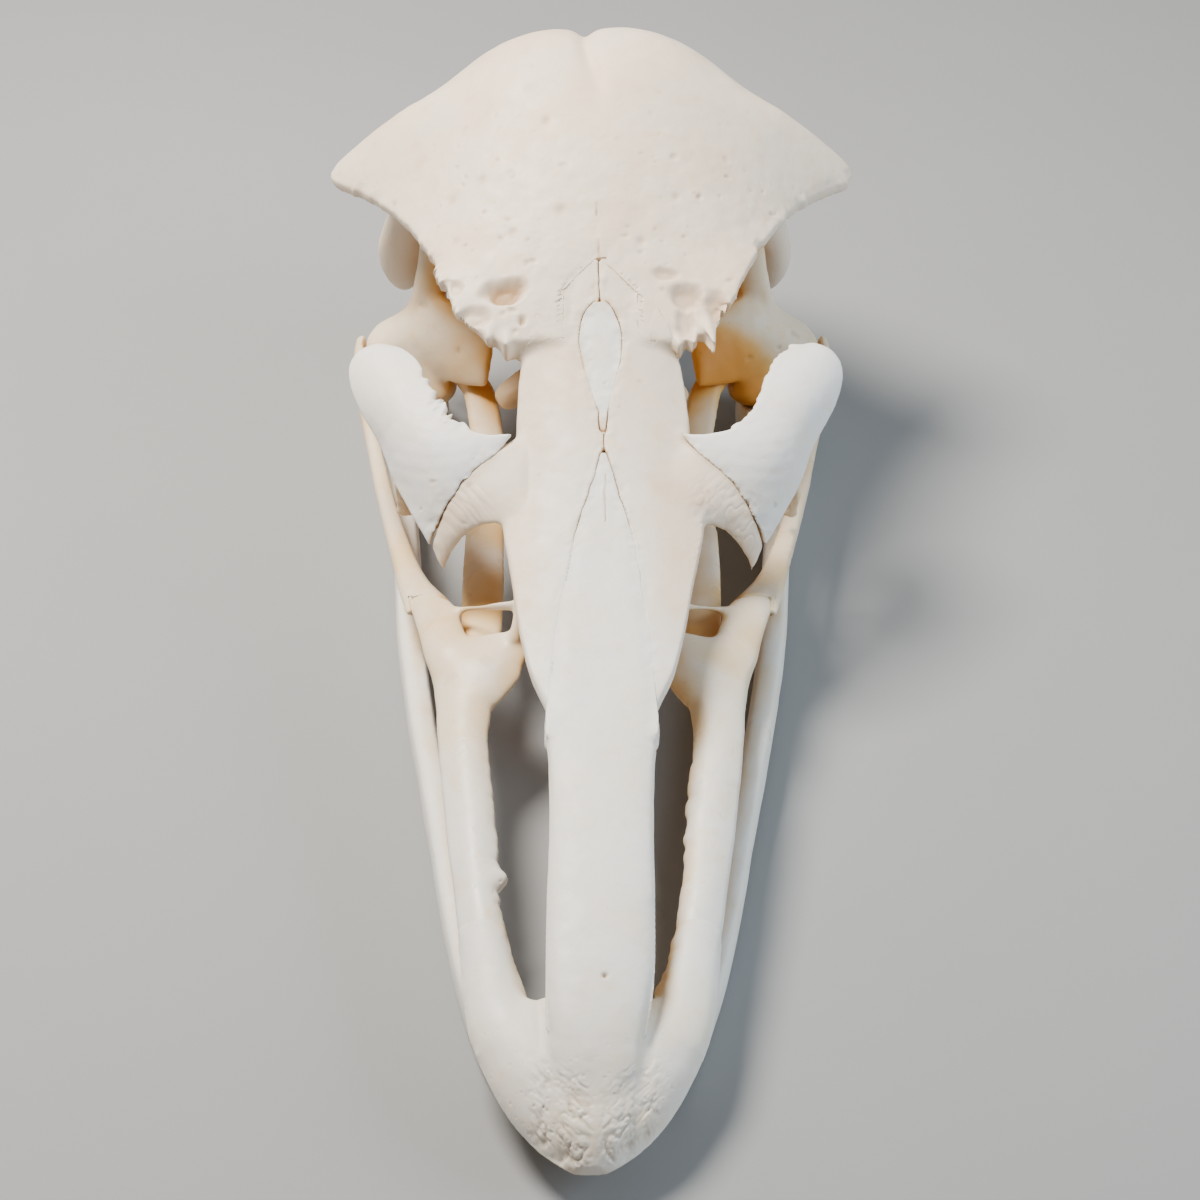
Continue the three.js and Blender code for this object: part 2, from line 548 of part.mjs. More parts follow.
function makeVomer() {
  return rod([
    [0, 60, 15.6, 1.6, 1.4], [0, 76, 15.8, 3, 2.2], [0, 96, 16, 4.4, 2.6], [0, 112, 16, 5.4, 2.6], [0, 122, 16.4, 4, 2],
  ], 1, { count: 8, steps: 2 });
}

// Septum between the orbits, its oval cap in the forehead and the rostrum under it
function makeMesethmoid() {
  const wall = loft([102, 107, 114, 121, 128, 134, 140, 145].map((y) => (
    uprightRing(y, 1.6, 20, MIDLINE_HEIGHT(y) - 1.6, 6, 12)
  )));
  const cap = loft([111, 113.5, 117, 121, 124.5, 127, 128.6, 129.6].map((y) => (
    uprightRing(y, CAP_HALF_WIDTH(y), MIDLINE_HEIGHT(y) - 7.4, MIDLINE_HEIGHT(y) - 0.05, 7, 10)
  )));
  const rostrum = rod([
    [0, 97, 20, 2.6, 3], [0, 112, 20, 5, 4.4], [0, 128, 19.2, 12, 3.6], [0, 144, 19.4, 19, 4.4],
  ], 1, { count: 10, steps: 2 });
  const sideWalls = [-1, 1].map((side) => rod([
    [0, 112, 28, 3, 14], [5, 113.4, 29, 2.4, 12], [10, 115.4, 31, 2, 8],
  ], side, { count: 8, steps: 2 }));
  return swayed(join(wall, cap, rostrum, ...sideWalls));
}

// Lower jaw: two tall thin branches that meet in the flat scoop of the tip
function makeMandible() {
  const scoop = loft([MANDIBLE_TIP, 7.6, 9.6, 12, 15, 19, SYMPHYSIS_END].map((y) => {
    const width = Math.max(1.5, BEAK_HALF_WIDTH(y - 4.2) - 0.9);
    const edge = BEAK_EDGE_HEIGHT(y) + 1;
    const chin = 3.4 * (1 - THREE.MathUtils.smoothstep(y, MANDIBLE_TIP - 2, 15));
    const ways = range(-1, 1, 10);
    const trough = (u) => edge - 1.8 + 1.8 * u * u;
    const keel = (u) => chin + (Math.max(0, Math.abs(u) - 0.45) / 0.55) ** 1.5 * (edge - 0.9 - chin);
    return [
      ...ways.map((u) => new THREE.Vector3(u * width, y, trough(u))),
      ...ways.reverse().map((u) => new THREE.Vector3(u * width, y, keel(u))),
    ];
  }));
  const outer = curve([
    [14, 10.4], [19, 13.6], [24, 15.8], [33, 18.4], [45, 20.8], [62, 23.5], [80, 26.8], [102, 29.9], [117, 30.8],
    [135, 33], [150, 36], [158, 37.6], [164, 35], [MANDIBLE_REAR, 32],
  ]);
  const height = curve([
    [14, 5], [24, 7], [44, 8], [61, 8.8], [80, 9.6], [101, 10.8], [120, 12], [134, 13], [146, 12.6],
    [152, 13.4], [160, 13.8], [164, 11], [MANDIBLE_REAR, 6],
  ]);
  const thickness = curve([
    [14, 3], [24, 4], [60, 4.2], [120, 4.2], [138, 4.8], [147, 8], [152, 13], [158, 14], [164, 8], [MANDIBLE_REAR, 4],
  ]);
  const lift = curve([[14, 3.6], [16, 2.2], [19, 0.3], [21, 0], [30, 0], [60, 1], [100, 1.2], [128, 0.4], [138, 0], [166, 0]]);
  const branch = (side) => loft([
    14, 18, 22, 33, 46, 60, 74, 88, 103, 118, 131, 140, 146, 151, 157, 162, MANDIBLE_REAR,
  ].map((y) => {
    const [half, tall, low] = [thickness(y) / 2, height(y), lift(y)];
    const x = outer(y) - half;
    const profile = [
      [-SOLE_HALF, 0], [SOLE_HALF, 0], [half * 0.86, tall * 0.14], [half, tall * 0.4], [half, tall * 0.72],
      [half * 0.8, tall * 0.94], [0, tall], [-half * 0.8, tall * 0.94], [-half, tall * 0.72], [-half, tall * 0.4],
      [-half * 0.86, tall * 0.14],
    ];
    return profile.map(([dx, dz]) => new THREE.Vector3(side * (x + dx), y, low + dz * (1 - low / tall)));
  }));
  return join(scoop, branch(-1), branch(1));
}

// Fit the bones together, each cut clear of the ones placed before it

const SIDES = [['left', -1], ['right', 1]];
const pair = (make) => SIDES.map(([, side]) => make(side));

const premaxilla = makePremaxilla();
const nasals = pair((side) => clearOf(makeNasal(side), premaxilla));
const mesethmoid = clearOf(makeMesethmoid(), premaxilla);
const nasalsCut = nasals.map((nasal) => clearOf(nasal, mesethmoid));
const quadrates = pair(makeQuadrate);
const cranium = clearOf(makeCranium(), mesethmoid, ...nasalsCut, ...quadrates);
const lacrimals = pair(makeLacrimal).map((bone, i) => clearOf(bone, nasalsCut[i], cranium, mesethmoid));
const maxillae = pair(makeMaxilla).map((bone, i) => clearOf(bone, premaxilla, nasalsCut[i]));
const jugals = pair(makeJugal).map((bone, i) => clearOf(bone, maxillae[i], quadrates[i], lacrimals[i]));
const pterygoids = pair(makePterygoid).map((bone, i) => clearOf(bone, quadrates[i], cranium));
const palatines = pair(makePalatine).map((bone, i) => clearOf(bone, maxillae[i], pterygoids[i]));
const vomer = clearOf(makeVomer(), mesethmoid);
const mandible = clearOf(makeMandible(), ...quadrates, premaxilla, ...jugals);

const skull = new THREE.Group();

function addBone(name, solid, finish) {
  const bone = new THREE.Mesh(geometryOf(tidied(solid)), finish.clone());
  bone.name = name;
  skull.add(bone);
}

function addPair(name, solids, finish) {
  SIDES.forEach(([label], i) => addBone(`${name}_${label}`, solids[i], finish));
}

addBone('cranium', cranium, IVORY);
addBone('mesethmoid', mesethmoid, TAN);
addBone('premaxilla', premaxilla, BEAK_WHITE);
addPair('nasal', nasalsCut, IVORY);
addPair('lacrimal', lacrimals, BLUE_WHITE);
addPair('maxilla', maxillae, CREAM);
addPair('jugal', jugals, CREAM);
addPair('quadrate', quadrates, TAN);
addPair('pterygoid', pterygoids, TAN);
addPair('palatine', palatines, CREAM);
addBone('vomer', vomer, CREAM);
addBone('mandible', mandible, BEAK_WHITE);

const extent = new THREE.Box3().setFromObject(skull);
skull.position.x = -(extent.min.x + extent.max.x) / 2;
skull.position.y = -(extent.min.y + extent.max.y) / 2;
skull.updateMatrixWorld(true);

export default skull;
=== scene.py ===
import json
import math

import bmesh
import bpy
import numpy as np
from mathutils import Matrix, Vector
from mathutils.bvhtree import BVHTree
from mathutils.kdtree import KDTree


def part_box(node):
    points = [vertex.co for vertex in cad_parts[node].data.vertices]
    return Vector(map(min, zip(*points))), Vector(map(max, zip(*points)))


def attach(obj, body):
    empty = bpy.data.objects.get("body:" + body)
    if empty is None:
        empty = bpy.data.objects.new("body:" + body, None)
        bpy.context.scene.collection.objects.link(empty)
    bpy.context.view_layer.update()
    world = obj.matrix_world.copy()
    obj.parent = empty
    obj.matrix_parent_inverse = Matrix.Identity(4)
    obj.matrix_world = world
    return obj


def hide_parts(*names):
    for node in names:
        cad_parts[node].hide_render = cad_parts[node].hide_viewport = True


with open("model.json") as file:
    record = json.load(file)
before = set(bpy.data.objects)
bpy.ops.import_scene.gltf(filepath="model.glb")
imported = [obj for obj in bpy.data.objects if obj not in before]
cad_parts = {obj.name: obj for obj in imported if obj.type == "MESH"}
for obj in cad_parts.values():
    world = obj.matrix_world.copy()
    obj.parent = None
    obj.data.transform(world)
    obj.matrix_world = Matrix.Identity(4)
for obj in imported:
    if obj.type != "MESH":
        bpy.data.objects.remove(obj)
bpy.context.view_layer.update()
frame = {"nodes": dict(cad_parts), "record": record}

# Driving sizes, in millimetres unless the name or a note says otherwise

MM = 0.001
TIP_TO_FRONT = 0.8
CREASE_ANGLE = math.radians(42)
CREASE = 0.8
WELD = 0.002
SKIN_GROWTH = 0.35
SKIN_VOXEL = 0.35
SEAM_REACH = 2.2
FLOOR_METRES = 3.0
CAMERA_DISTANCE = 420
CAMERA_ELEVATION = math.radians(42)
CAMERA_LENS = 88.2
CAMERA_SENSOR = 36
CAMERA_AIM = (1.29, 83.85, 30)

# Recesses, painted as shade: how many rays test the sky and how far they reach, how many places are tested on
# each bone, how near the two faces of a joint lie, how far off the bone a ray starts, and how far a thin
# bone's two sides are kept apart
SKY_RAYS = 20
RECESS_DEPTH = 26
RECESS_SAMPLES = 3500
JOINT_DEPTH = 1.2
RAY_START = 0.3
SIDE_APART = 4

# Grain of each bone's mesh
VOXELS = {
    "cranium": 0.3, "premaxilla": 0.2, "mesethmoid": 0.22, "nasal_left": 0.2, "nasal_right": 0.2,
    "lacrimal_left": 0.22, "lacrimal_right": 0.22, "maxilla_left": 0.24, "maxilla_right": 0.24,
    "jugal_left": 0.3, "jugal_right": 0.3, "mandible": 0.4,
}
PLAIN_VOXEL = 0.34

# Bones whose outer faces run on from one to the next
SUTURED = [
    "cranium", "mesethmoid", "premaxilla", "nasal_left", "nasal_right", "lacrimal_left", "lacrimal_right",
    "maxilla_left", "maxilla_right", "jugal_left", "jugal_right",
]

# Widths of their joints: an open hairline, one that is closed here and there, and one that has grown together
OPEN_CRACK = 0.09
GROWN_OVER = -0.3
FUSED = -0.9

# The skull's middle sways: its x at the beak's tip, along the bar, and in the oval between the nasals
TIP_MIDDLE = 0.8
BAR_MIDDLE = 1.5
OVAL_MIDDLE = 1.4

# Heights between which the brushes for an edge act, so that the bone below it stays as it is
ROOF_LOW = 38
ROOF_RIM_HEIGHTS = (36, 60)
LACRIMAL_HEIGHTS = (32, 60)
PREMAXILLA_HEIGHTS = (6, 17)
MAXILLA_HEIGHTS = (6, 20)

ORIGIN = np.array([0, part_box("premaxilla")[0].y / MM - TIP_TO_FRONT, 0])


# Noise: smooth random fields over points in millimetres

def lattice(cells, seed):
    """A fixed random number from 0 to 1 for each whole-number cell."""
    x, y, z = (cells[:, i].astype(np.int64) for i in range(3))
    bits = (x * 73856093) ^ (y * 19349663) ^ (z * 83492791) ^ (seed * 2654435761)
    bits = (bits ^ (bits >> 13)) * 1274126177
    bits = (bits ^ (bits >> 16)) & 0xFFFFFF
    return bits / 0xFFFFFF


def noise(points, size, seed):
    """Smooth noise from -1 to 1 with blobs of about that size."""
    cells = points / size
    base = np.floor(cells)
    part = cells - base
    part = part * part * (3 - 2 * part)
    total = np.zeros(len(cells))
    for corner in np.ndindex(2, 2, 2):
        weight = np.prod(np.where(np.array(corner) == 1, part, 1 - part), axis=1)
        total += weight * lattice(base + np.array(corner), seed)
    return total * 2 - 1


def fractal(points, size, octaves, seed):
    """Noise with finer noise added to it, each layer half as wide and half as strong as the last."""
    total = np.zeros(len(points))
    for k in range(octaves):
        total += noise(points, size / 2 ** k, seed + 31 * k) * 0.5 ** k
    return total / (2 - 0.5 ** (octaves - 1))


def dimples(points, spacing, share, seed):
    """Round pits scattered one to a cell: 1 at a pit's middle, falling to 0 at its rim."""
    cells = points / spacing
    base = np.floor(cells)
    best = np.zeros(len(cells))
    for step in np.ndindex(3, 3, 3):
        cell = base + np.array(step) - 1
        centre = cell + 0.5 + 0.35 * np.stack(
            [lattice(cell, seed + k) * 2 - 1 for k in (1, 2, 3)], axis=1)
        there = lattice(cell, seed + 4) < share
        radius = 0.12 + 0.24 * lattice(cell, seed + 5) ** 2
        reach = np.linalg.norm(cells - centre, axis=1) / radius
        best = np.maximum(best, np.where(there, np.clip(1 - reach ** 2, 0, 1), 0))
    return best


def ramp(value, low, high):
    """0 below the low value and 1 above the high one, with a smooth rise between."""
    t = np.clip((value - low) / (high - low), 0, 1)
    return t * t * (3 - 2 * t)


def bump(value, centre, width):
    """1 at the centre, falling off smoothly to both sides."""
    return np.exp(-(((value - centre) / width) ** 2))


def along(path, x, y):
    """Distance to a path of (x, back) points, and the length run along it to the nearest place."""
    path = np.array(path, float)
    best = np.full(len(x), np.inf)
    run, done = np.zeros(len(x)), 0.0
    for (x0, y0), (x1, y1) in zip(path[:-1], path[1:]):
        dx, dy = x1 - x0, y1 - y0
        length = math.hypot(dx, dy)
        t = np.clip(((x - x0) * dx + (y - y0) * dy) / length ** 2, 0, 1)
        px, py = x - x0 - t * dx, y - y0 - t * dy
        distance = np.hypot(px, py)
        closer = distance < best
        best = np.where(closer, distance, best)
        run = np.where(closer, done + t * length, run)
        done += length
    return best, run


# Meshes and search trees

def read(collection, field, width, kind=np.float64):
    """One row of numbers for each vertex, edge or triangle."""
    flat = np.empty(len(collection) * width, kind)
    collection.foreach_get(field, flat)
    return flat.reshape(-1, width)


def to_design(places):
    """From metres in the frame to millimetres from the beak's tip."""
    return places / MM - ORIGIN


def to_frame(points):
    """From millimetres from the beak's tip to metres in the frame."""
    return (points + ORIGIN) * MM


def tree_of(mesh):
    polygons = [tuple(polygon.vertices) for polygon in mesh.polygons]
    return BVHTree.FromPolygons(to_design(read(mesh.vertices, "co", 3)).tolist(), polygons)


def nearest(tree, points, reach):
    """For each point: the nearest place on the tree's surface, its normal, and the distance."""
    count = len(points)
    places, normals, distances = points.copy(), np.zeros((count, 3)), np.full(count, reach)
    for i, point in enumerate(points.tolist()):
        place, normal, _, distance = tree.find_nearest(point, reach)
        if place is not None:
            places[i], normals[i], distances[i] = place, normal, distance
    return places, normals, distances


def modified(mesh, kind, **settings):
    """The mesh that one modifier makes of this one."""
    holder = bpy.data.objects.new("holder", mesh)
    bpy.context.scene.collection.objects.link(holder)
    modifier = holder.modifiers.new(kind, kind)
    for key, value in settings.items():
        setattr(modifier, key, value)
    evaluated = holder.evaluated_get(bpy.context.evaluated_depsgraph_get())
    made = bpy.data.meshes.new_from_object(evaluated)
    bpy.data.objects.remove(holder)
    return made


def remeshed(mesh, voxel):
    return modified(mesh, "REMESH", mode="VOXEL", voxel_size=voxel * MM, use_smooth_shade=True)


def rounded_copy(node):
    """The node's solid with its broad facets rounded off and its real edges kept."""
    mesh = frame["nodes"][node].data.copy()
    shape = bmesh.new()
    shape.from_mesh(mesh)
    bmesh.ops.remove_doubles(shape, verts=shape.verts, dist=WELD * MM)
    crease = shape.edges.layers.float.new("crease_edge")
    for edge in shape.edges:
        if edge.calc_face_angle(0) > CREASE_ANGLE:
            edge[crease] = CREASE
    shape.to_mesh(mesh)
    shape.free()
    return modified(mesh, "SUBSURF", levels=2, use_creases=True)


def joined(meshes, growth=0.0):
    """One mesh of all these, each with its skin moved out along its normals."""
    points, corners, start = [], [], 0
    for mesh in meshes:
        points.append(read(mesh.vertices, "co", 3) + growth * MM * read(mesh.vertices, "normal", 3))
        mesh.calc_loop_triangles()
        corners.append(read(mesh.loop_triangles, "vertices", 3, np.int32) + start)
        start += len(mesh.vertices)
    whole = bpy.data.meshes.new("whole")
    whole.from_pydata(np.concatenate(points).tolist(), [], np.concatenate(corners).tolist())
    return whole


# Clay: a dense closed mesh that the brushes below push about

class Clay:
    """Points are x, distance back from the beak's tip, and height, all in millimetres.

    Stain, painted shade and cool run from 0 to 1 at each point, and the materials read them: how brown it is,
    how much shade is painted on it as if the sky were hidden, and how near the beak's cool white it comes.
    """

    def __init__(self, mesh):
        self.mesh = mesh
        count = len(mesh.vertices)
        self.points = to_design(read(mesh.vertices, "co", 3))
        self.heads, self.tails = read(mesh.edges, "vertices", 2, np.int32).T
        self.degree = np.bincount(self.heads, minlength=count) + np.bincount(self.tails, minlength=count)
        self.stain = np.zeros(count)
        self.painted_shade = np.zeros(count)
        self.cool = np.zeros(count)

    @property
    def x(self):
        return self.points[:, 0]

    @property
    def y(self):
        return self.points[:, 1]

    @property
    def z(self):
        return self.points[:, 2]

    def store(self):
        """Writes the points back into the mesh."""
        self.mesh.vertices.foreach_set("co", to_frame(self.points).ravel())
        self.mesh.update()

    def spread(self, values):
        """The mean of each vertex's neighbours."""
        count = len(self.points)
        from_tails = np.bincount(self.heads, values[self.tails], count)
        from_heads = np.bincount(self.tails, values[self.heads], count)
        return (from_tails + from_heads) / self.degree

    def smooth(self, rounds, weight=None):
        """Evens out the surface, only where the weight asks for it."""
        if weight is None:
            weight = np.ones(len(self.points))
        chosen = np.flatnonzero(weight > 0)
        if len(chosen) == 0:
            return
        place = np.full(len(self.points), -1)
        touched = (weight[self.heads] > 0) | (weight[self.tails] > 0)
        heads, tails = self.heads[touched], self.tails[touched]
        used = np.unique(np.concatenate([heads, tails]))
        place[used] = np.arange(len(used))
        heads, tails = place[heads], place[tails]
        part, share = self.points[used], 0.5 * weight[used][:, None]
        count = len(used)
        degree = (np.bincount(heads, minlength=count) + np.bincount(tails, minlength=count))[:, None]
        for _ in range(rounds):
            total = np.stack([
                np.bincount(heads, part[tails, k], count) + np.bincount(tails, part[heads, k], count)
                for k in range(3)], axis=1)
            part = part + share * (total / degree - part)
        self.points[used] = part

    def normals(self):
        self.store()
        return read(self.mesh.vertices, "normal", 3)

    def soil(self, amount):
        """Stains the bone brown, at least this much from 0 to 1."""
        self.stain = np.maximum(self.stain, amount)

    def paint_shade(self, amount):
        """Paints shade on the bone, as if at least this share of the sky were hidden."""
        self.painted_shade = np.maximum(self.painted_shade, amount)

    def push(self, amount):
        """Moves each vertex along its normal, in millimetres."""
        self.points = self.points + self.normals() * amount[:, None]

    def shift(self, direction, amount):
        """Moves each vertex in one direction, in millimetres."""
        self.points = self.points + np.array(direction, float) * amount[:, None]


def drift(points):
    """A small sideways wander, the same for both sides of a crack."""
    return np.stack([
        noise(points, 1.7, 400 + k) + 0.5 * noise(points, 0.8, 410 + k)
        for k in range(3)], axis=1)


def crack_width(points):
    """How far a joint stands open: some show as hairlines, others have grown together."""
    x, y, z = points.T
    off_centre = np.abs(x - OVAL_MIDDLE)
    beside_oval = ramp(y, 117, 119) * ramp(off_centre, 4.4, 5.2)
    behind_oval = ramp(y, 130, 131) * ramp(off_centre, 0.8, 1.4)
    low_front = (1 - ramp(y, 100, 106)) * (1 - ramp(z, 21, 24))
    fused = np.maximum.reduce([beside_oval, behind_oval, low_front])
    beside_bar = (1 - ramp(y, 88, 98)) * (1 - ramp(np.abs(x), 13, 15)) * (1 - fused)
    in_oval = ramp(y, 113, 117) * (1 - ramp(off_centre, 4, 4.6))
    spells = 0.8 * in_oval * ramp(noise(points, 3.2, 421), 0.1, 0.5) * (1 - fused)
    lightly = np.maximum(beside_bar, spells)
    width = OPEN_CRACK + 0.03 * noise(points, 2.5, 420) * (1 - fused) - 0.03 * in_oval
    return width + (FUSED - width) * fused + (GROWN_OVER - width) * lightly


def close_seams(clay, others, skin):
    """Brings the bone up to its neighbours, so that only a wavy crack is left and their faces run on."""
    low, high = others["low"] - SEAM_REACH, others["high"] + SEAM_REACH
    near = np.flatnonzero(np.all((clay.points > low) & (clay.points < high), axis=1))
    points = clay.points[near]
    places, _, gaps = nearest(others["tree"], points, SEAM_REACH)
    close = gaps < SEAM_REACH * 0.999
    near, points, places, gaps = near[close], points[close], places[close], gaps[close]
    if len(near) == 0:
        return
    # Faces that look at each other come half way together each
    normals = clay.normals()[near]
    toward = (places - points) / np.maximum(gaps, 1e-6)[:, None]
    facing = ramp(np.sum(normals * toward, axis=1), 0.15, 0.6)
    width = crack_width(points)
    fused = 1 - ramp(width, 0.7 * FUSED, 0)
    step = np.clip(gaps - width, -0.35, 1.3) / 2 * facing * (1 - ramp(gaps, 0.6, 1.1))
    points = points + toward * step[:, None]
    # Faces that look outward come flush with the skin, apart from the sides of the beak's bar
    places, over, _ = nearest(skin, points, 1.5)
    height = np.sum((places - points) * over, axis=1)
    flush = ramp(np.sum(normals * over, axis=1), 0.2 - 0.35 * fused, 0.6 - 0.35 * fused)
    flush = flush * (1 - ramp(gaps, 1.0, SEAM_REACH))
    bar_side = (points[:, 1] < 88) & (points[:, 2] > 20) & (over[:, 2] < 0.5)
    flush = flush * (np.abs(height) < 1.2) * ~bar_side
    points = points + over * (height * flush)[:, None]
    # The crack wanders, and holds a little dirt
    points = points + 0.13 * drift(points) * ((1 - fused) * (1 - ramp(gaps, 0.8, SEAM_REACH)))[:, None]
    clay.points[near] = points
    dirt = 0.3 * (1 - ramp(gaps, 0.25, 0.7)) * ramp(width, 0, OPEN_CRACK)
    clay.stain[near] = np.maximum(clay.stain[near], dirt)


# Brushes

def mirrored(path):
    """The same path on the other side of x 0."""
    return [(-x, y) for x, y in path]


def ragged(clay, path, reach, amount, size, seed, out, heights):
    """Breaks up an edge that follows a path of (x, back) points: teeth and nicks in a fixed direction."""
    distance, run = along(path, clay.x, clay.y)
    hold = (1 - ramp(distance, 0.15 * reach, reach)) * (clay.z > heights[0]) * (clay.z < heights[1])
    line = np.stack([run, np.zeros(len(run)), np.zeros(len(run))], axis=1)
    line[:, 0] += 0.9 * size * noise(line, 2.3 * size, seed + 2)
    teeth = noise(line, size, seed) + 0.6 * noise(line, size / 2.3, seed + 1)
    spell = 0.25 + 0.75 * ramp(noise(line, 3.7 * size, seed + 3), -0.35, 0.45)
    clay.shift((out[0], out[1], 0), amount * hold * teeth * spell)


def crack(clay, path, width, depth, low):
    """A hairline crack with slightly raised lips, along a path of (x, back) points above the low height."""
    wander = 0.25 * noise(clay.points, 1.3, 77)
    distance, _ = along(path, clay.x + wander, clay.y)
    top = clay.normals()[:, 2] > 0.3
    groove = bump(distance, 0, width) * top * (clay.z > low)
    lips = bump(distance, 2.2 * width, width) * top * (clay.z > low)
    clay.push(0.25 * depth * lips - depth * groove)
    clay.soil(0.8 * groove)


def hollow(clay, centre, size, depth, seed, stain):
    """An irregular sunken patch of the roof around (x, back)."""
    wobble = 0.38 * fractal(clay.points, 3.4, 3, seed)
    reach = np.hypot((clay.x - centre[0]) / size[0], (clay.y - centre[1]) / size[1]) + wobble
    field = (1 - ramp(reach, 0.35, 1.0)) * (clay.normals()[:, 2] > 0.2) * (clay.z > ROOF_LOW)
    clay.shift((0, 0, -1), depth * field)
    clay.soil(stain * field)


def spicule(clay, place, way, tall, wide, low):
    """Draws one small spike out of an edge, at (x, back) above the low height."""
    field = np.exp(-((clay.x - place[0]) ** 2 + (clay.y - place[1]) ** 2) / wide ** 2) * (clay.z > low)
    clay.shift((way[0], way[1], 0), tall * field)


def pits(clay, spacing, share, depth, seed, mask=1.0):
    """Scatters small stained pits where the mask allows; the share is how many of the places hold one."""
    warp = np.stack([noise(clay.points, 0.45 * spacing, seed + 60 + k) for k in range(3)], axis=1)
    field = dimples(clay.points + 0.16 * spacing * warp, spacing, share, seed) * mask
    clay.push(-depth * field)
    clay.soil(0.35 * field)


def undulate(clay, size, height, seed):
    """Gives the face the soft waves of real bone."""
    clay.push(height * fractal(clay.points, size, 3, seed))


# Cranium: places are (x, back), with the sizes in the order that each note says

# Rims of the left side, from the rear to the front
ORBIT_RIM = [(-42.4, 169), (-39.8, 165), (-36, 161), (-31.3, 154.5), (-26.3, 144), (-23.2, 135)]
CORNER_RIM = [(-24.6, 139), (-22.4, 133), (-20.6, 129), (-17.4, 126), (-12.6, 124)]

# Shallow dents in the roof: x, back, size
ROOF_DENTS = [
    (-21.6, 148.8, 1.1), (-17, 149.9, 0.9), (-4.6, 142.5, 1.0), (-7, 156.9, 0.7),
    (7.5, 138.3, 0.8), (13, 146, 0.7), (-12, 140, 0.8),
]

# Hollows in the roof's front corners: place, half width and length, depth, seed, stain
ROOF_HOLLOWS = [
    ((-13.4, 131), (4, 2.4), 1.6, 31, 1),
    ((-17.6, 127.6), (3, 1.8), 0.9, 32, 0.3),
    ((-20.4, 132.4), (1.6, 1.6), 0.6, 35, 0.25),
    ((14.2, 130.6), (3.6, 2.4), 1.2, 33, 0.5),
    ((14.2, 127), (1.8, 2.6), 0.9, 37, 0.3),
    ((18.6, 129.4), (2.8, 3), 1.1, 34, 0.5),
    ((11.4, 133.8), (2.8, 1.2), 0.6, 36, 0.4),
    ((-10.4, 126.8), (0.8, 1), 0.8, 38, 0.6),
]

# Splinters that stand out from the corners' rims: x, back, length
ROOF_SPLINTERS = [
    (-12.6, 124.6, 1.3), (-15.4, 125.4, 0.8), (-20.2, 129, 0.9), (17.8, 126.2, 4.4),
    (13, 124.4, 1.2), (15.4, 125, 1.6), (19.8, 128.4, 1.2),
]


def round_back(clay):
    """Rounds off the facets of the vault's rear and of the lobes that hang beside it."""
    back = ramp(clay.y, 163, 168) * (1 - ramp(clay.y, 184, 190)) * ramp(clay.z, 42, 47)
    clay.smooth(420, back * (1 - ramp(np.abs(clay.x), 24, 30)))
    lobes = ramp(clay.y, 164, 166.5) * ramp(np.abs(clay.x), 21, 23.5) * (1 - ramp(clay.z, 41, 44))
    clay.smooth(160, lobes)


def part_vault(clay):
    """Parts the vault's rear into two soft domes with a groove between them."""
    midline = -1.2 + 1.9 * (1 - ramp(clay.y, 159.7, 173.7)) + 0.3 * noise(clay.points, 5, 5)
    strength = ramp(clay.y, 157, 172) * (1 - ramp(clay.y, 184, 189)) * ramp(clay.z, 40, 50)
    clay.push(-1.15 * strength * bump(clay.x, midline, 1.5) - 0.5 * strength * bump(clay.x, midline, 4.5))
    domes = bump(clay.y, 173, 8) * (bump(clay.x, -11, 8) + 1.25 * bump(clay.x, 9.5, 8)) * ramp(clay.z, 40, 50)
    clay.push(0.75 * domes)


def roughen_roof(clay, vault):
    """Waves, pits and dents, most of them on the front half of the roof."""
    clay.push(vault * 0.2 * fractal(clay.points, 11, 3, 11))
    front = 1 - ramp(clay.y, 146, 166)
    clay.push(vault * (0.05 + 0.1 * front) * fractal(clay.points, 2.4, 3, 13))
    pits(clay, 3.6, 0.45, 0.34, 21, vault * (0.3 + 0.7 * front) * ramp(np.abs(clay.x), 1, 7))
    pits(clay, 1.7, 0.4, 0.2, 22, vault * (0.25 + 0.75 * front) * ramp(np.abs(clay.x), 1, 7))
    for x, y, size in ROOF_DENTS:
        dent = np.exp(-((clay.x - x) ** 2 + (clay.y - y) ** 2) / (0.7 * size ** 2)) * vault
        clay.push(-0.3 * dent)
        clay.soil(0.3 * dent)
    for place, size, depth, seed, stain in ROOF_HOLLOWS:
        hollow(clay, place, size, depth, seed, stain)


def break_rims(clay):
    """Ragged rims: splintered at the front corners, finer along the orbits."""
    ragged(clay, CORNER_RIM, 2.2, 0.6, 1.3, 41, (-0.45, -0.9), ROOF_RIM_HEIGHTS)
    ragged(clay, mirrored(CORNER_RIM), 2.4, 0.8, 1.4, 43, (0.35, -1.0), ROOF_RIM_HEIGHTS)
    for x, y, tall in ROOF_SPLINTERS:
        spicule(clay, (x, y), (0.1 * np.sign(x), -1), tall, 0.75, ROOF_RIM_HEIGHTS[0])
    ragged(clay, ORBIT_RIM, 1.3, 0.26, 2.6, 45, (-0.8, -0.5), ROOF_RIM_HEIGHTS)
    ragged(clay, mirrored(ORBIT_RIM), 1.3, 0.32, 2.6, 46, (0.8, -0.5), ROOF_RIM_HEIGHTS)


def tone_underside(clay):
    """Rougher under the roof, with warmer painted shade there, but paler on the lobes, which stand out in the
    light.
    """
    under = 1 - ramp(clay.z, 36, 44)
    clay.push(under * 0.25 * fractal(clay.points, 6, 3, 15))
    clay.paint_shade(0.55 * under * (1 - ramp(clay.y, 160, 170)))
    hanging = ramp(clay.y, 166, 168.6) * ramp(np.abs(clay.x), 22.5, 25) * (1 - ramp(clay.z, 38, 44))
    clay.painted_shade = clay.painted_shade * (1 - 0.55 * hanging)


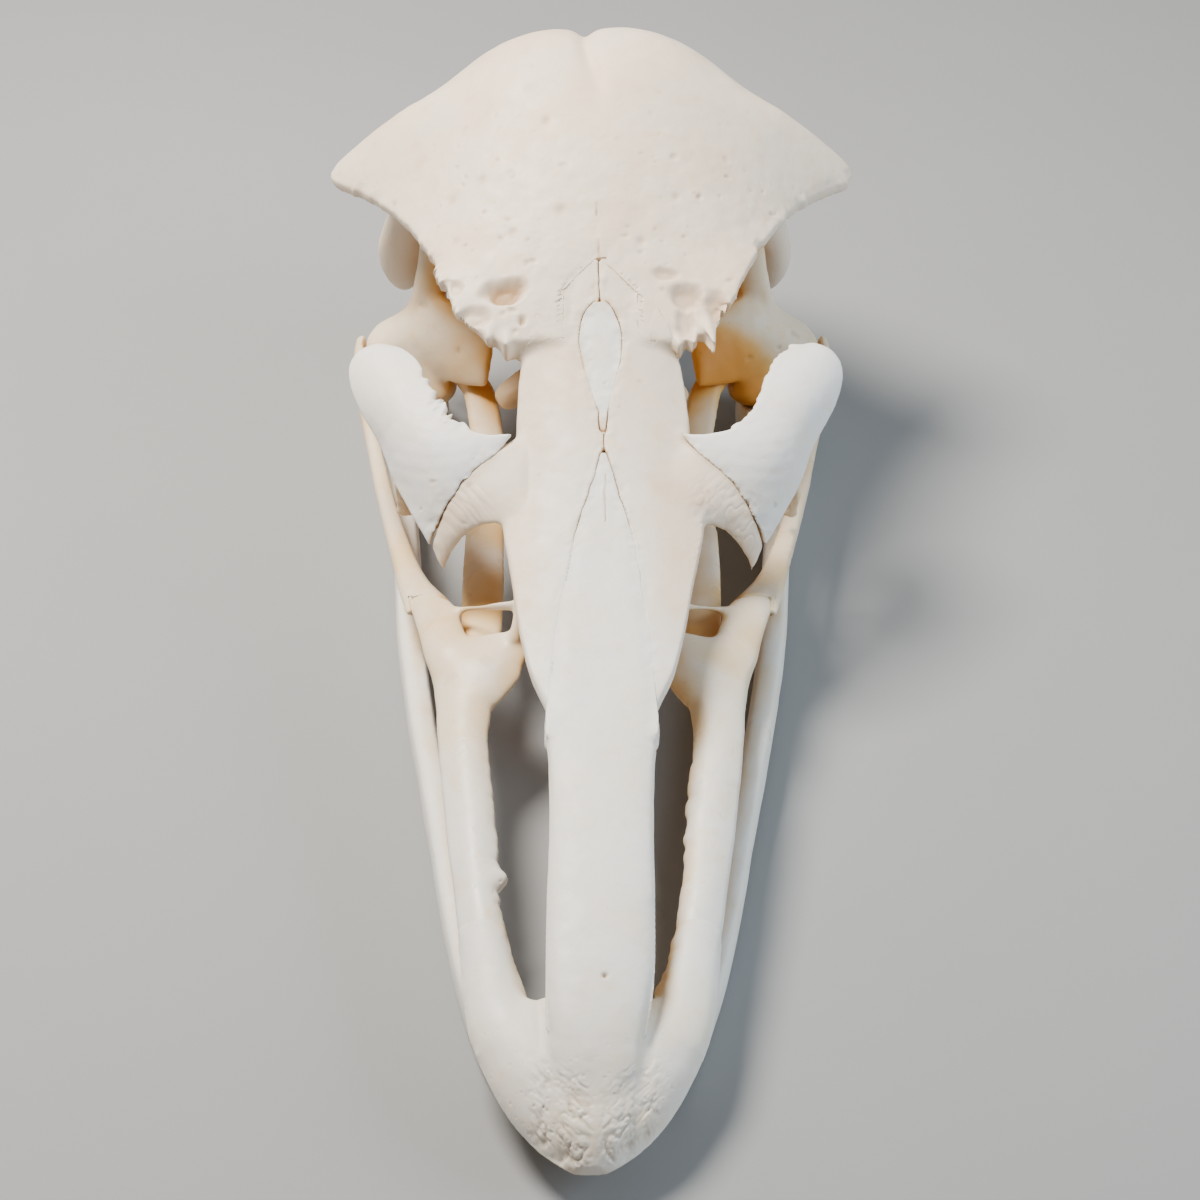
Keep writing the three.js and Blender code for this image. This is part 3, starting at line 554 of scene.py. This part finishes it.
def sculpt_cranium(clay):
    round_back(clay)
    vault = (clay.normals()[:, 2] > 0.25) * ramp(clay.z, 40, 46)
    part_vault(clay)
    roughen_roof(clay, vault)
    break_rims(clay)
    crack(clay, [(1.2, 135), (0.9, 138)], 0.13, 0.1, 40)
    crack(clay, [(0.7, 141.6), (0.8, 143.4)], 0.12, 0.07, 40)
    tone_underside(clay)


# The other bones

# Grooves beside the bar at the beak's tip, and the premaxilla's rear rims, as (x, back)
LEFT_GROOVE = [(-7.4, 26), (-5.4, 12), (-5.2, 6), (-4, 2.2)]
RIGHT_GROOVE = [(9.6, 26), (7, 12), (6.5, 6), (5, 2.2)]
LEFT_CORNER = [(-11.5, 36), (-9.6, 29), (-8.2, 25.4)]
RIGHT_CORNER = [(11.5, 36), (9.6, 29), (8.6, 25.4)]
BAR_HOLE = (1.9, 22.8)
BAR_CRACK = [(2.1, 104), (2.0, 100), (2.2, 96.5)]

# The right lacrimal's inner margin, the left one's splinters as x, back, length and width, the inner edge of
# the right maxilla, and the one tooth on the left maxilla's
LACRIMAL_MARGIN = [(20, 112), (22, 114.2), (24, 116.8), (25.4, 122), (27.2, 126.6), (29.8, 130)]
LACRIMAL_SPLINTERS = [(-22.6, 115.4, 1.9, 0.8), (-21, 113.8, 1.5, 0.6), (-19.2, 112, 0.8, 0.6)]
MAXILLA_EDGE = [(10.2, 86), (10, 82), (13.4, 80), (14.4, 70), (13.6, 61), (12.8, 54), (12.6, 45), (11, 37)]
MAXILLA_TOOTH = (-12.8, 44.5)


def tip_texture(clay):
    """Grooves beside the bar, and furrows between them that run together toward the beak's tip."""
    top = ramp(clay.normals()[:, 2], -0.1, 0.35)
    front = 1 - ramp(clay.y, 20, 27)
    wander = 0.3 * noise(clay.points, 2, 50)
    for path in (LEFT_GROOVE, RIGHT_GROOVE):
        distance, _ = along(path, clay.x + wander, clay.y)
        clay.push(-0.34 * top * front * bump(distance, 0, 0.8) - 0.2 * top * front * bump(distance, 0, 2.4))
    points = clay.points
    x, back, z = points.T
    across = np.abs(x - TIP_MIDDLE)
    warp = 0.42 * noise(points, 1.6, 51)
    lie = np.stack([
        (1.25 * across - back) + warp,
        0.36 * (across + 1.2 * back) + warp,
        0.4 * z], axis=1)
    furrow = 1 - np.clip(np.abs(noise(lie, 0.95, 52)) * 2.8, 0, 1)
    fine = 1 - np.clip(np.abs(noise(lie, 0.5, 53)) * 2.6, 0, 1)
    reach = back + 2.2 * noise(points, 2.6, 54)
    middle = (1 - ramp(reach, 6 + 0.5 * across, 10 + 0.9 * across)) * (1 - ramp(across, 6.5, 9.5))
    middle = middle * (1 - 0.85 * bump(across, 0, 0.9)) * (1 - 0.8 * bump(across, 5.4, 0.7))
    patchy = 0.45 + 0.55 * ramp(noise(points, 2.1, 55), -0.3, 0.4)
    clay.push(-(0.32 * furrow + 0.16 * fine) * middle * top * patchy)
    pits(clay, 1.15, 0.5, 0.24, 56, top * (1 - ramp(reach, 9, 15)) * (0.35 + 0.65 * bump(across, 7, 3)))
    pits(clay, 0.7, 0.35, 0.14, 57, top * (1 - ramp(reach, 10, 19)))
    clay.soil(middle * top * (0.36 * furrow * patchy + 0.14))
    # Browner and darker toward the beak's tip
    clay.soil(0.22 * top * (1 - ramp(reach, 5, 28)))
    clay.soil(0.5 * (1 - ramp(clay.y, 1.6, 5)) * (0.55 + 0.45 * noise(points, 3, 58)))


def sculpt_premaxilla(clay):
    corners = ramp(clay.y, 13, 17) * (1 - ramp(clay.y, 33, 36)) * ramp(np.abs(clay.x), 4, 8)
    clay.smooth(260, corners * (clay.normals()[:, 2] > 0))
    tip_top = (1 - ramp(clay.y, 14, 20)) * ramp(clay.normals()[:, 2], -0.1, 0.3) * ramp(clay.y, 0.9, 3)
    clay.smooth(120, tip_top)
    undulate(clay, 9, 0.16, 61)
    tip_texture(clay)
    clay.push(0.035 * fractal(clay.points, 1.6, 2, 62))
    hole = np.exp(-((clay.x - BAR_HOLE[0]) ** 2 + (clay.y - BAR_HOLE[1]) ** 2) / 0.12) * (clay.z > 14)
    clay.push(-0.55 * hole)
    clay.soil(0.9 * hole)
    ragged(clay, LEFT_CORNER, 1.5, 0.25, 2.4, 63, (0.9, 0.1), PREMAXILLA_HEIGHTS)
    ragged(clay, RIGHT_CORNER, 1.8, 0.4, 2.2, 64, (-0.9, 0.1), PREMAXILLA_HEIGHTS)
    crack(clay, BAR_CRACK, 0.12, 0.12, 20)
    shoulder = bump(clay.y, 62, 6) * ramp(np.abs(clay.x - BAR_MIDDLE), 4, 7)
    clay.shift((1, 0, 0), 0.4 * shoulder * np.sign(clay.x - BAR_MIDDLE))


def sculpt_nasal(clay):
    clay.smooth(60, ramp(clay.y, 96, 100) * (1 - ramp(clay.y, 112, 116)) * ramp(np.abs(clay.x), 8, 11))
    side = 1 if clay.x.mean() > 0 else -1
    clay.smooth(40, 1 - ramp(clay.y, 66, 72))
    clay.shift((-side, 0, -0.1), 1.7 * (1 - ramp(clay.y, 60, 74)))
    undulate(clay, 8, 0.16, 71)
    clay.push(0.03 * fractal(clay.points, 1.4, 2, 72))
    wrinkle = ramp(np.abs(clay.x), 13, 17) * (1 - ramp(clay.y, 103, 107))
    lined = np.stack([
        clay.x * 0.6 + clay.y * 0.4,
        (clay.y - np.abs(clay.x)) * 1.3,
        clay.z * 0.5], axis=1)
    clay.push(-0.09 * wrinkle * (1 - np.clip(np.abs(noise(lined, 1.2, 73)) * 3, 0, 1)))
    pits(clay, 2.8, 0.25, 0.1, 74, ramp(clay.y, 95, 110))
    outer = ramp(np.abs(clay.x - BAR_MIDDLE), 5, 11) * ramp(clay.y, 70, 90)
    clay.cool = 0.8 * (1 - outer) * (1 - ramp(clay.y, 92, 118))


def sculpt_lacrimal(clay):
    side = 1 if clay.x.mean() > 0 else -1
    undulate(clay, 9, 0.2, 81)
    clay.push(0.03 * fractal(clay.points, 1.3, 2, 82))
    margin = [(side * x + 0.6, y) for x, y in LACRIMAL_MARGIN]
    if side > 0:
        ragged(clay, margin, 2.0, 0.7, 1.2, 84, (-0.75, 0.65), LACRIMAL_HEIGHTS)
    else:
        ragged(clay, margin[:4], 2.0, 0.6, 0.9, 82, (0.7, 0.7), LACRIMAL_HEIGHTS)
        for x, y, tall, wide in LACRIMAL_SPLINTERS:
            spicule(clay, (x, y), (0.35, 0.95), tall, wide, LACRIMAL_HEIGHTS[0])
    hanging = (1 - ramp(clay.z, 25, 29)) * ramp(np.abs(clay.x), 24, 25.5) * (clay.y > 110)
    clay.push(-0.25 * hanging - 0.4 * hanging * fractal(clay.points, 1.8, 2, 86))
    # Painted shade on the hanging process
    clay.paint_shade(0.6 * hanging)
    pits(clay, 2.2, 0.3, 0.12, 85, (1 - ramp(clay.y, 104, 112)))


def sculpt_maxilla(clay):
    side = 1 if clay.x.mean() > 0 else -1
    clay.smooth(70, ramp(clay.y, 72, 76) * (1 - ramp(clay.y, 98, 101)) * ramp(np.abs(clay.x), 14, 17))
    clay.smooth(14)
    undulate(clay, 7, 0.18, 91)
    inner = [(side * x, y) for x, y in MAXILLA_EDGE]
    ragged(clay, inner, 1.9, 0.3, 3.2, 92 + side, (-side, 0.1), MAXILLA_HEIGHTS)
    tooth = np.exp(-((clay.x - MAXILLA_TOOTH[0]) ** 2 + (clay.y - MAXILLA_TOOTH[1]) ** 2) / 2.2)
    clay.shift((1, 0.2, 0), 1.2 * tooth)
    spongy = bump(clay.y, 43, 5) * (1 - ramp(np.abs(clay.x), 14, 18)) + 0.5 * bump(clay.y, 66, 5)
    pits(clay, 0.8, 0.6, 0.2, 95, np.clip(spongy, 0, 1))
    patchy = 0.9 + 0.3 * noise(clay.points, 6, 96)
    # Patchy painted shade toward the maxilla's rear
    clay.paint_shade(0.46 * ramp(clay.y, 76, 84) * patchy)
    clay.cool = 1 - ramp(clay.y, 44, 74)


def sculpt_quadrate(clay):
    """Painted shade, warmer and darker toward the front and most on the right, as in the photograph."""
    clay.smooth(16)
    undulate(clay, 6, 0.3, 101)
    pits(clay, 2.6, 0.3, 0.2, 102)
    shade_amount = 0.9 if clay.x.mean() > 0 else 0.42
    clay.paint_shade(shade_amount * (1 - ramp(clay.y, 150, 157)))


def sculpt_mesethmoid(clay):
    undulate(clay, 5, 0.12, 105)
    pits(clay, 1.3, 0.3, 0.16, 106, clay.z > 38)
    clay.cool = ramp(clay.z - 36 - 0.45 * np.clip(clay.y - 110, 0, 99), 0, 3)


def sculpt_plain(clay):
    undulate(clay, 7, 0.16, 111)


def sculpt_jugal(clay):
    sculpt_plain(clay)
    # Painted shadow over the whole jugal
    clay.paint_shade(0.42)


def sculpt_mandible(clay):
    undulate(clay, 9, 0.16, 121)
    pits(clay, 3, 0.2, 0.12, 122)


SCULPT = {
    "cranium": sculpt_cranium, "premaxilla": sculpt_premaxilla, "nasal": sculpt_nasal,
    "lacrimal": sculpt_lacrimal, "maxilla": sculpt_maxilla, "quadrate": sculpt_quadrate,
    "mandible": sculpt_mandible, "mesethmoid": sculpt_mesethmoid, "jugal": sculpt_jugal,
}


# Recesses: how much of the sky each place on the bones is cut off from, which the materials paint as shade

def sky_rays(count):
    """Directions spread evenly over the upper half of a sphere."""
    golden = math.pi * (3 - math.sqrt(5))
    directions = []
    for k in range(count):
        up = 1 - (2 * k + 1) / count
        level = math.sqrt(1 - up * up)
        directions.append(Vector((level * math.cos(golden * k), level * math.sin(golden * k), up)))
    return directions


def add_painted_shade(clay, shape, whole, rays):
    """Spreads over the bone how much of the sky the bones near it block."""
    points = to_design(read(shape.vertices, "co", 3))
    normals = read(shape.vertices, "normal", 3)
    # A random scatter of places, without those inside a joint
    chosen = lattice(np.floor(points * 40), 7) < RECESS_SAMPLES / len(points)
    points, normals = points[chosen], normals[chosen]
    in_joint = []
    for point, normal in zip(points.tolist(), normals.tolist()):
        start = Vector(point) + 0.1 * Vector(normal)
        in_joint.append(whole.ray_cast(start, Vector(normal), JOINT_DEPTH)[0] is not None)
    free = ~np.array(in_joint)
    points, normals = points[free], normals[free]
    # Each is looked up from a spot well outside its own face, to tell it from a thin bone's far side
    shares = np.empty(len(points))
    tree = KDTree(len(points))
    for i, (point, normal) in enumerate(zip(points.tolist(), normals.tolist())):
        out = Vector(normal)
        start = Vector(point) + out * RAY_START
        weights = [max(0.0, ray.dot(out)) for ray in rays]
        blocked = sum(weight for weight, ray in zip(weights, rays)
                      if weight > 0.1 and whole.ray_cast(start, ray, RECESS_DEPTH)[0] is not None)
        # Faces that look down get painted shade of 0.8
        shares[i] = blocked / max(sum(weights), 1e-6) if out.z > -0.6 else 0.8
        tree.insert(Vector(point) + out * SIDE_APART, i)
    tree.balance()
    queries = clay.points + SIDE_APART * clay.normals()
    found = np.array([tree.find(query)[1] for query in queries.tolist()])
    depth = shares[found]
    for _ in range(40):
        depth = 0.5 * depth + 0.5 * clay.spread(depth)
    clay.painted_shade = depth


# Materials

class Graph:
    """Shorthand for building one material's nodes; sizes of patterns are in millimetres."""

    def __init__(self, name):
        self.material = bpy.data.materials.new(name)
        self.material.use_nodes = True
        self.tree = self.material.node_tree
        self.shader = self.tree.nodes["Principled BSDF"]

    def node(self, kind, inputs=None, **settings):
        made = self.tree.nodes.new(kind)
        for key, value in settings.items():
            setattr(made, key, value)
        for key, value in (inputs or {}).items():
            self.feed(made.inputs[key], value)
        return made

    def feed(self, socket, value):
        if isinstance(value, bpy.types.NodeSocket):
            self.tree.links.new(value, socket)
        else:
            socket.default_value = value

    def noise(self, coords, size, detail=3.0, rough=0.55):
        return self.node("ShaderNodeTexNoise", {
            "Vector": coords, "Scale": 1 / (size * MM), "Detail": detail, "Roughness": rough}).outputs["Fac"]

    def ranged(self, value, low, high, to_low=0.0, to_high=1.0):
        return self.node("ShaderNodeMapRange", {
            "Value": value, "From Min": low, "From Max": high, "To Min": to_low, "To Max": to_high},
            interpolation_type="SMOOTHSTEP").outputs["Result"]

    def mixed(self, share, first, second):
        made = self.node("ShaderNodeMix", data_type="RGBA")
        self.feed(made.inputs[0], share)
        self.feed(made.inputs[6], first if isinstance(first, bpy.types.NodeSocket) else (*first, 1))
        self.feed(made.inputs[7], second if isinstance(second, bpy.types.NodeSocket) else (*second, 1))
        return made.outputs[2]

    def times(self, a, b):
        return self.node("ShaderNodeMath", {0: a, 1: b}, operation="MULTIPLY").outputs[0]

    def plus(self, a, b):
        return self.node("ShaderNodeMath", {0: a, 1: b}, operation="ADD").outputs[0]


BEAK_PALE = (0.8, 0.8, 0.765)
BEAK_MOTTLE = (0.8, 0.76, 0.655)
STAIN_BROWN = (0.36, 0.2, 0.075)

# Shares of the warmer colour's red, green and blue that are left in the deepest painted shade
DEEP_SHADE_SHARES = (0.9, 0.62, 0.3)
PORE_SPACING = 1.3

# What every kind of bone shares: a little light that passes through it, and a soft shine
SURFACE = {
    "Subsurface Weight": 0.12,
    "Subsurface Radius": (1.0, 0.62, 0.36),
    "Subsurface Scale": 1.6 * MM,
    "Specular IOR Level": 0.42,
}


def bone_material(name, pale, mottle, warm_tone_and_shade, gloss):
    """Dry bone: pale with soft mottling, warmer and darker where shade is painted, brown in pits and cracks.
    """
    graph = Graph(name)
    coords = graph.node("ShaderNodeTexCoord").outputs["Object"]
    painted_shade = graph.node("ShaderNodeAttribute", attribute_name="painted_shade").outputs["Fac"]
    stain = graph.node("ShaderNodeAttribute", attribute_name="stain").outputs["Fac"]
    cool = graph.node("ShaderNodeAttribute", attribute_name="cool").outputs["Fac"]

    clouds = graph.ranged(graph.noise(coords, 14, 3.0), 0.42, 0.68)
    patches = graph.ranged(graph.noise(coords, 4.2, 4.0, 0.6), 0.52, 0.74)
    specks = graph.ranged(graph.noise(coords, 1.1, 2.0), 0.62, 0.78)

    pale_here = graph.mixed(cool, pale, BEAK_PALE)
    mottle_here = graph.mixed(cool, mottle, BEAK_MOTTLE)
    color = graph.mixed(graph.times(clouds, 0.75), pale_here, mottle_here)
    patch = tuple(0.35 * m + 0.65 * w for m, w in zip(mottle, warm_tone_and_shade))
    color = graph.mixed(graph.times(patches, 0.4), color, patch)
    color = graph.mixed(graph.times(specks, 0.22), color, warm_tone_and_shade)
    # Painted shade: warmer where the sky is hidden, darker and more orange where most of it is
    shade_mix = graph.ranged(graph.plus(painted_shade, graph.times(clouds, 0.12)), 0.22, 0.72)
    color = graph.mixed(shade_mix, color, warm_tone_and_shade)
    deep_shade = tuple(value * share for value, share in zip(warm_tone_and_shade, DEEP_SHADE_SHARES))
    color = graph.mixed(graph.times(graph.ranged(painted_shade, 0.5, 0.9), 0.9), color, deep_shade)
    color = graph.mixed(graph.times(stain, 0.95), color, STAIN_BROWN)
    pores = graph.node("ShaderNodeTexVoronoi", {"Vector": coords, "Scale": 1 / (PORE_SPACING * MM)})
    pore = graph.ranged(pores.outputs["Distance"], 0.05, 0.16, 1.0, 0.0)
    pore = graph.times(pore, graph.ranged(graph.noise(coords, 7, 2.0), 0.48, 0.66))
    # Pores take the same dark colour as the deepest painted shade
    color = graph.mixed(graph.times(pore, 0.3), color, deep_shade)
    graph.feed(graph.shader.inputs["Base Color"], color)

    rough = graph.ranged(graph.noise(coords, 3.2, 3.0), 0.3, 0.7, 0.44 - 0.1 * gloss, 0.6 - 0.16 * gloss)
    if gloss:
        wet = graph.ranged(graph.noise(coords, 5.5, 2.0), 0.56, 0.66)
        rough = graph.plus(rough, graph.times(wet, -0.26 * gloss))
    graph.feed(graph.shader.inputs["Roughness"], rough)

    grain = graph.noise(coords, 0.5, 3.0, 0.6)
    lumps = graph.noise(coords, 2.2, 3.0, 0.5)
    height = graph.plus(graph.times(grain, 0.3), graph.times(lumps, 0.9))
    height = graph.plus(height, graph.times(pore, -0.5))
    relief = graph.node("ShaderNodeBump", {"Strength": 0.35, "Distance": 0.12 * MM, "Height": height})
    graph.feed(graph.shader.inputs["Normal"], relief.outputs["Normal"])
    for socket, value in SURFACE.items():
        graph.shader.inputs[socket].default_value = value
    return graph.material


# Each slot's material: name, colours where it is pale and mottled, its warmer colour for patches and painted
# shade, and how much of it shines
BONES = {
    "roof_bone": ("ivory_bone", (0.8, 0.695, 0.57), (0.785, 0.62, 0.46), (0.74, 0.53, 0.29), 0.0),
    "beak_bone": ("grey_white_bone", BEAK_PALE, BEAK_MOTTLE, (0.74, 0.58, 0.36), 0.0),
    "lacrimal_bone": ("blue_white_bone", (0.82, 0.815, 0.8), (0.82, 0.77, 0.7), (0.76, 0.6, 0.38), 0.0),
    "palate_bone": ("cream_bone", (0.81, 0.76, 0.67), (0.79, 0.68, 0.5), (0.74, 0.52, 0.24), 1.0),
    "deep_bone": ("tan_bone", (0.81, 0.7, 0.53), (0.78, 0.6, 0.36), (0.74, 0.43, 0.12), 0.0),
}
FINISHES = {slot: bone_material(*look) for slot, look in BONES.items()}


# Build: one dense piece for each bone

def finish_bone(node, clay):
    """Makes the worked clay a piece that stands in for its node."""
    clay.store()
    for name in ("stain", "painted_shade", "cool"):
        layer = clay.mesh.attributes.new(name, "FLOAT", "POINT")
        layer.data.foreach_set("value", np.clip(getattr(clay, name), 0, 1).astype(np.float32))
    piece = bpy.data.objects.new("bone_" + node, clay.mesh)
    bpy.context.scene.collection.objects.link(piece)
    slots = {row["node"]: row["material_slot"] for row in frame["record"]["subparts"]}
    piece.data.materials.clear()
    piece.data.materials.append(FINISHES[slots[node]])
    piece.data.shade_smooth()
    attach(piece, "root")
    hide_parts(node)


shapes = {node: rounded_copy(node) for node in frame["nodes"]}

# The skin that the sutured bones share: grown until the joints close, then shrunk back
skin_clay = Clay(remeshed(joined([shapes[node] for node in SUTURED], SKIN_GROWTH), SKIN_VOXEL))
skin_clay.push(np.full(len(skin_clay.points), -SKIN_GROWTH))
skin_clay.smooth(12)
skin_clay.store()
skin = tree_of(skin_clay.mesh)

# All bones together, for the rays that look for the sky
sky = tree_of(joined(list(shapes.values())))
rays = sky_rays(SKY_RAYS)

for node, shape in shapes.items():
    clay = Clay(remeshed(shape, VOXELS.get(node, PLAIN_VOXEL)))
    clay.smooth(4)
    if node in SUTURED:
        rest = [shapes[other] for other in SUTURED if other != node]
        whole = joined(rest)
        spots = to_design(read(whole.vertices, "co", 3))
        others = {"tree": tree_of(whole), "low": spots.min(axis=0), "high": spots.max(axis=0)}
        close_seams(clay, others, skin)
    add_painted_shade(clay, shape, sky, rays)
    SCULPT.get(node.split("_")[0], sculpt_plain)(clay)
    finish_bone(node, clay)


# Camera, floor and light

def design_point(x, back, z):
    """A place on the skull, in metres in the frame."""
    return Vector(to_frame(np.array([x, back, z], float)))


def make_camera():
    """Looks down on the beak at the photograph's angle."""
    data = bpy.data.cameras.new("camera")
    data.lens = CAMERA_LENS
    data.sensor_width = CAMERA_SENSOR
    camera = bpy.data.objects.new("camera", data)
    bpy.context.scene.collection.objects.link(camera)
    aim = design_point(*CAMERA_AIM)
    back = Vector((0, -math.cos(CAMERA_ELEVATION), math.sin(CAMERA_ELEVATION)))
    camera.location = aim + back * CAMERA_DISTANCE * MM
    camera.rotation_euler = (-back).to_track_quat("-Z", "Y").to_euler()
    bpy.context.scene.camera = camera


def floor_material():
    """Plain matt grey with very soft clouds."""
    graph = Graph("floor_paint")
    coords = graph.node("ShaderNodeTexCoord").outputs["Object"]
    graph.feed(graph.shader.inputs["Base Color"], graph.mixed(
        graph.noise(coords, 60, 4.0), (0.27, 0.28, 0.29), (0.3, 0.31, 0.32)))
    graph.shader.inputs["Roughness"].default_value = 0.9
    return graph.material


def make_floor():
    half = FLOOR_METRES / 2
    corners = [(-half, -half, 0), (half, -half, 0), (half, half, 0), (-half, half, 0)]
    mesh = bpy.data.meshes.new("floor")
    mesh.from_pydata(corners, [], [(0, 1, 2, 3)])
    floor = bpy.data.objects.new("floor", mesh)
    bpy.context.scene.collection.objects.link(floor)
    mesh.materials.append(floor_material())


def make_area_light(name, place, aim, size, power, color):
    """A round soft light; its place, aim and size are in metres."""
    data = bpy.data.lights.new(name, "AREA")
    data.shape = "DISK"
    data.size = size
    data.energy = power
    data.color = color
    light = bpy.data.objects.new(name, data)
    bpy.context.scene.collection.objects.link(light)
    light.location = place
    light.rotation_euler = (Vector(aim) - Vector(place)).to_track_quat("-Z", "Y").to_euler()


def make_sky(color, strength):
    """Even light from all around."""
    world = bpy.data.worlds.new("world")
    world.use_nodes = True
    background = world.node_tree.nodes["Background"]
    background.inputs["Color"].default_value = (*color, 1)
    background.inputs["Strength"].default_value = strength
    bpy.context.scene.world = world


make_camera()
make_floor()
make_area_light(
    "key", place=(-0.15, 0.1, 0.36), aim=(0, 0.02, 0.04), size=0.16, power=4.1, color=(1, 0.92, 0.82))
make_area_light(
    "fill", place=(0.5, -0.06, 0.28), aim=(0, 0.02, 0.03), size=0.3, power=2.4, color=(0.72, 0.87, 1))
make_sky(color=(1, 0.97, 0.94), strength=0.31)
